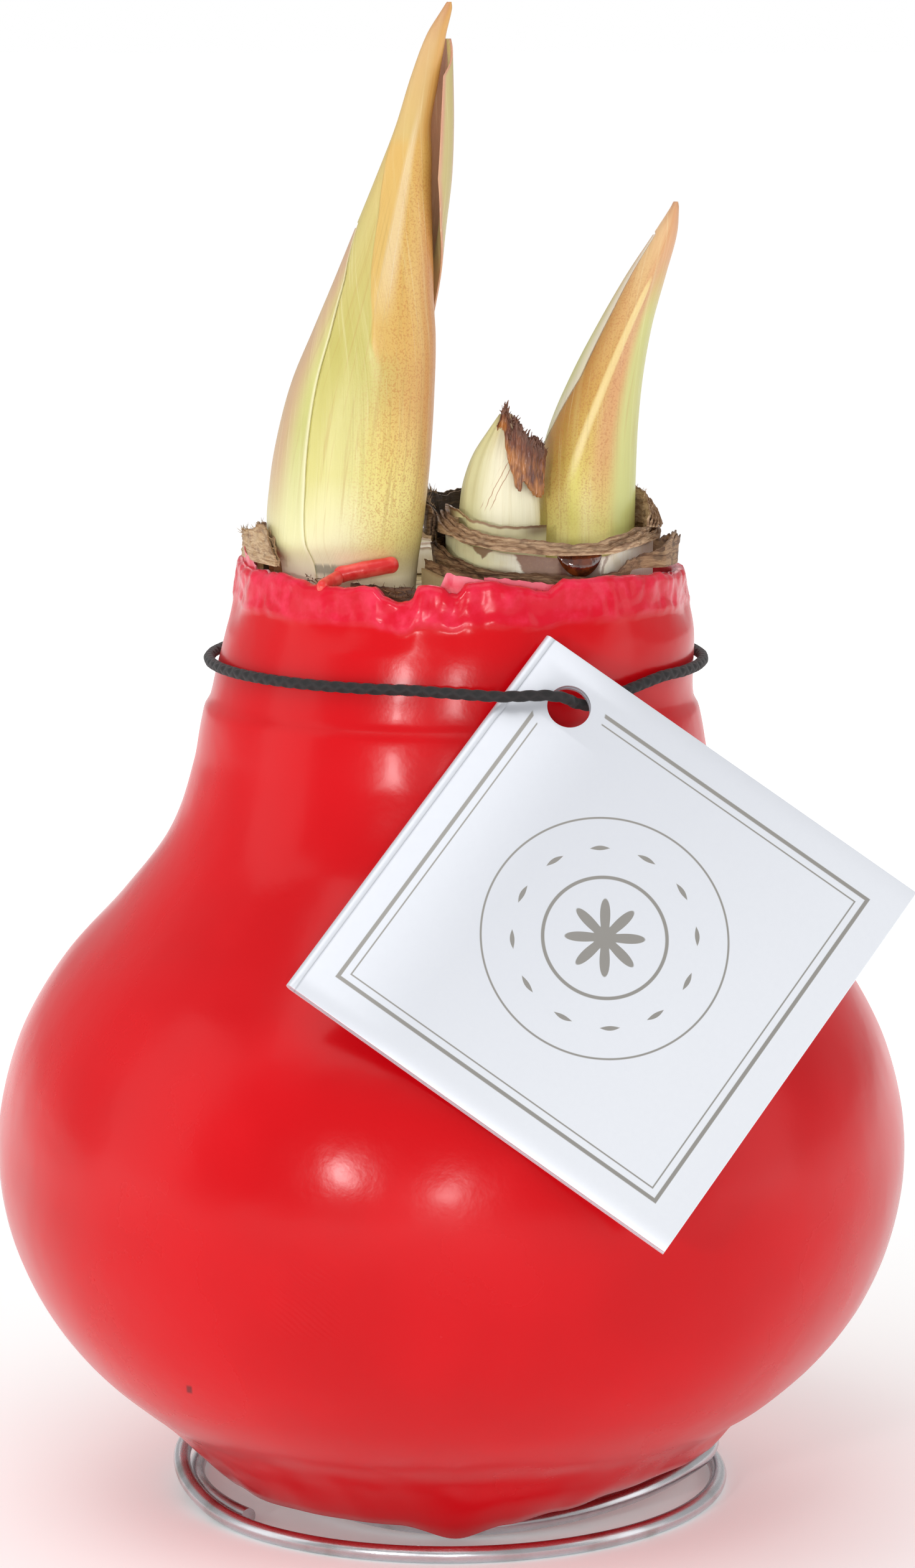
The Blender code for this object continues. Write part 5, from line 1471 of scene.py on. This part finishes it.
def elasticPath():
    _, _, _, face = cardFrame()
    hole = Vector(card["holePlace"])
    level = Vector((face.y, -face.x, 0.0)).normalized()
    level = level if level.x > 0.0 else -level
    proud = card["sheet"] + card["slot"] / 2.0 + elastic["width"] / 2.0 + 0.25
    lift = Vector((0.0, 0.0, 0.9))
    over = hole + lift + face * proud - level * 2.6
    thread = [over - level * 4.6 - face * 0.15, over, hole + lift + face * (proud - 0.35) - level * 1.35,
              hole + lift + face * 0.35 - level * 0.2, hole + lift - face * (proud - 0.2) + level * 1.0,
              hole + lift - face * (proud + 0.5) + level * 2.3]
    points = []
    start, end = elastic["returns"], 360.0 + elastic["leaves"]
    for k in range(31):
        way = start + (end - start) * k / 30.0
        points.append(Vector(polar(elastic["middle"], elastic["radius"], way, elastic["height"])))
    return points + thread


def closedCurve(points, spacing):  # evenly spaced points on a smooth closed curve
    n = len(points)
    line = []
    for i in range(n):
        a, b, c, d = (points[(i + k) % n] for k in (-1, 0, 1, 2))
        count = max(2, round((c - b).length / spacing))
        tightness = 0.5 * (c - b).length
        first = (c - a).normalized() * tightness * 1.2
        second = (d - b).normalized() * tightness * 1.2
        for k in range(count):
            t = k / count
            line.append(b * (2 * t**3 - 3 * t**2 + 1) + first * (t**3 - 2 * t**2 + t)
                        + c * (3 * t**2 - 2 * t**3) + second * (t**3 - t**2))
    return line


def elasticFinish():
    f = Finish("blackElastic", roughness=0.75, sheen_weight=0.08, sheen_roughness=0.5)
    thread = f.cloud(0.0003, detail=3.0, rough=0.7)
    # painted shade: the braid is drawn darker in the grooves between its strands and lighter on their crests
    braidShade = f.step(f.field("weave"), -0.6, 0.8)
    dark = f.mix(braidShade, rgb(10, 8, 9), rgb(30, 25, 26))
    f.drive(base_color=f.mix(thread * 0.3, dark, rgb(46, 38, 38)), roughness=0.65 + 0.2 * thread)
    f.drive(normal=f.relief(thread, 0.03))
    return f


def weaveAt(run, angle):  # the braid's crossing strands, -1 to 1
    along = 2.0 * math.pi * run / elastic["pitch"]
    half = elastic["strands"] / 2.0
    return max(math.cos(half * angle + along), math.cos(half * angle - along)) * 1.4 - 0.7


def makeElastic():
    path = closedCurve(elasticPath(), 0.14)
    path.append(path[0])
    sides = 24

    def swell(run, angle):
        return 1.0 - 2.0 * elastic["weave"] / elastic["width"] * (1.0 - weaveAt(run, angle))

    mesh = tubeMesh("elasticLoop", path, elastic["width"] / 2.0, sides, swell)
    layer = mesh.attributes.new("weave", "FLOAT", "POINT")
    runs = [v.value for v in mesh.attributes["along"].data]
    angles = [v.value for v in mesh.attributes["angle"].data]
    layer.data.foreach_set("value", [weaveAt(r, a) for r, a in zip(runs, angles)])
    makePiece("elasticLoop", mesh, elasticFinish(), ["elastic_loop"])


makeElastic()
print("elastic done")


# Wire stand: one bright wire, wound from the prong under the bulb out to the ring on the floor

wire = {
    "width": 1.8, "prongTop": 19.0, "cut": 0.1,
    "turns": [(-450, 2.4, 3.15), (-405, 4.4, 3.15), (-360, 7.0, 3.15), (-270, 12.0, 3.15), (-180, 17.0, 2.9),
              (-125, 20.2, 1.7), (-88, 21.4, 1.2), (-58, 22.3, 1.7), (-38, 23.6, 2.4), (-17, 25.4, 2.9),
              (0, 27.6, 3.1), (15, 28.8, 3.1), (60, 28.9, 3.1), (120, 28.9, 3.1), (165, 28.9, 3.1),
              (185, 29.0, 2.7), (200, 29.1, 1.9), (216, 29.3, 1.1), (232, 29.5, 0.8), (270, 29.6, 0.8),
              (320, 28.9, 0.8), (360, 28.7, 0.8), (450, 28.9, 0.8), (505, 28.5, 0.8), (535, 27.6, 0.8),
              (560, 27.0, 0.8), (578, 26.9, 0.8)],
}


def wireFinish():
    f = Finish("brightSteel", metallic=1.0)
    drawn = f.cloud(1.0, f.point(f.field("angle") * 2.4, f.field("along") * 0.12, 0.0), detail=4.0, rough=0.7)
    tarnish = f.cloud(0.006, detail=3.0)
    steel = f.mix(f.step(tarnish, 0.45, 0.75), rgb(206, 206, 210), rgb(168, 164, 162))
    f.drive(base_color=steel, roughness=0.16 + 0.22 * drawn)
    f.drive(normal=f.relief(drawn, 0.02))
    return f


def makeWire():
    first, last = wire["turns"][0][0], wire["turns"][-1][0]
    points = [(0.0, 0.0, wire["prongTop"]), (0.0, 0.0, 8.0), (0.0, 0.0, 5.6), (0.05, -0.35, 4.1),
              (0.3, -1.3, 3.3)]
    count = 420
    for k in range(count + 1):
        way = first + (last - first) * k / count
        radius, height = rowAt(wire["turns"], way)
        points.append(polar((0.0, 0.0), radius, way, height))
    mesh = tubeMesh("wireStand", points, wire["width"] / 2.0, 20)
    for vertex in mesh.vertices:
        vertex.co.z = max(vertex.co.z, 0.0)  # the flat that it rests on
    makePiece("wireStand", mesh, wireFinish(), ["wire_stand"])


makeWire()
print("wire done")


# Floor, as stage

stage = {"reach": 9000.0, "rings": 14, "sides": 96, "glow": 0.56, "from": 0.09, "to": 0.35}


def makeStage():  # one wide pale floor, lit a little from within so that it meets the backdrop
    rows = []
    for k in range(stage["rings"] + 1):
        reach = stage["reach"] * (k / stage["rings"]) ** 3 + 1.0
        rows.append([polar((0.0, 0.0), reach, 360.0 * i / stage["sides"],
                           0.0) for i in range(stage["sides"])])
    f = Finish("paleStudio", roughness=0.9, emission_strength=stage["glow"])
    away = f.node("ShaderNodeVectorMath", {"operation": "LENGTH"}, {0: f.place()}, out="Value")
    f.drive(emission_color=f.mix(f.step(away, stage["from"], stage["to"]), rgb(150, 158, 158),
                                 rgb(255, 255, 255)))
    f.drive(base_color=f.mix(f.cloud(0.3, detail=2.0), rgb(246, 245, 244), rgb(250, 249, 249)))
    rows = np.asarray(rows, float)
    flatMesh = bpy.data.meshes.new("floor")
    count, sides = rows.shape[:2]
    quads = [(k * sides + i, k * sides + (i + 1) % sides, (k + 1) * sides + (i + 1) % sides,
              (k + 1) * sides + i)
             for k in range(count - 1) for i in range(sides)]
    flatMesh.from_pydata((rows.reshape(-1, 3) * mm).tolist(), [], quads + [tuple(range(sides))[::-1]])
    flatMesh.materials.append(f.material)
    floor = bpy.data.objects.new("floor", flatMesh)
    bpy.context.scene.collection.objects.link(floor)


makeStage()
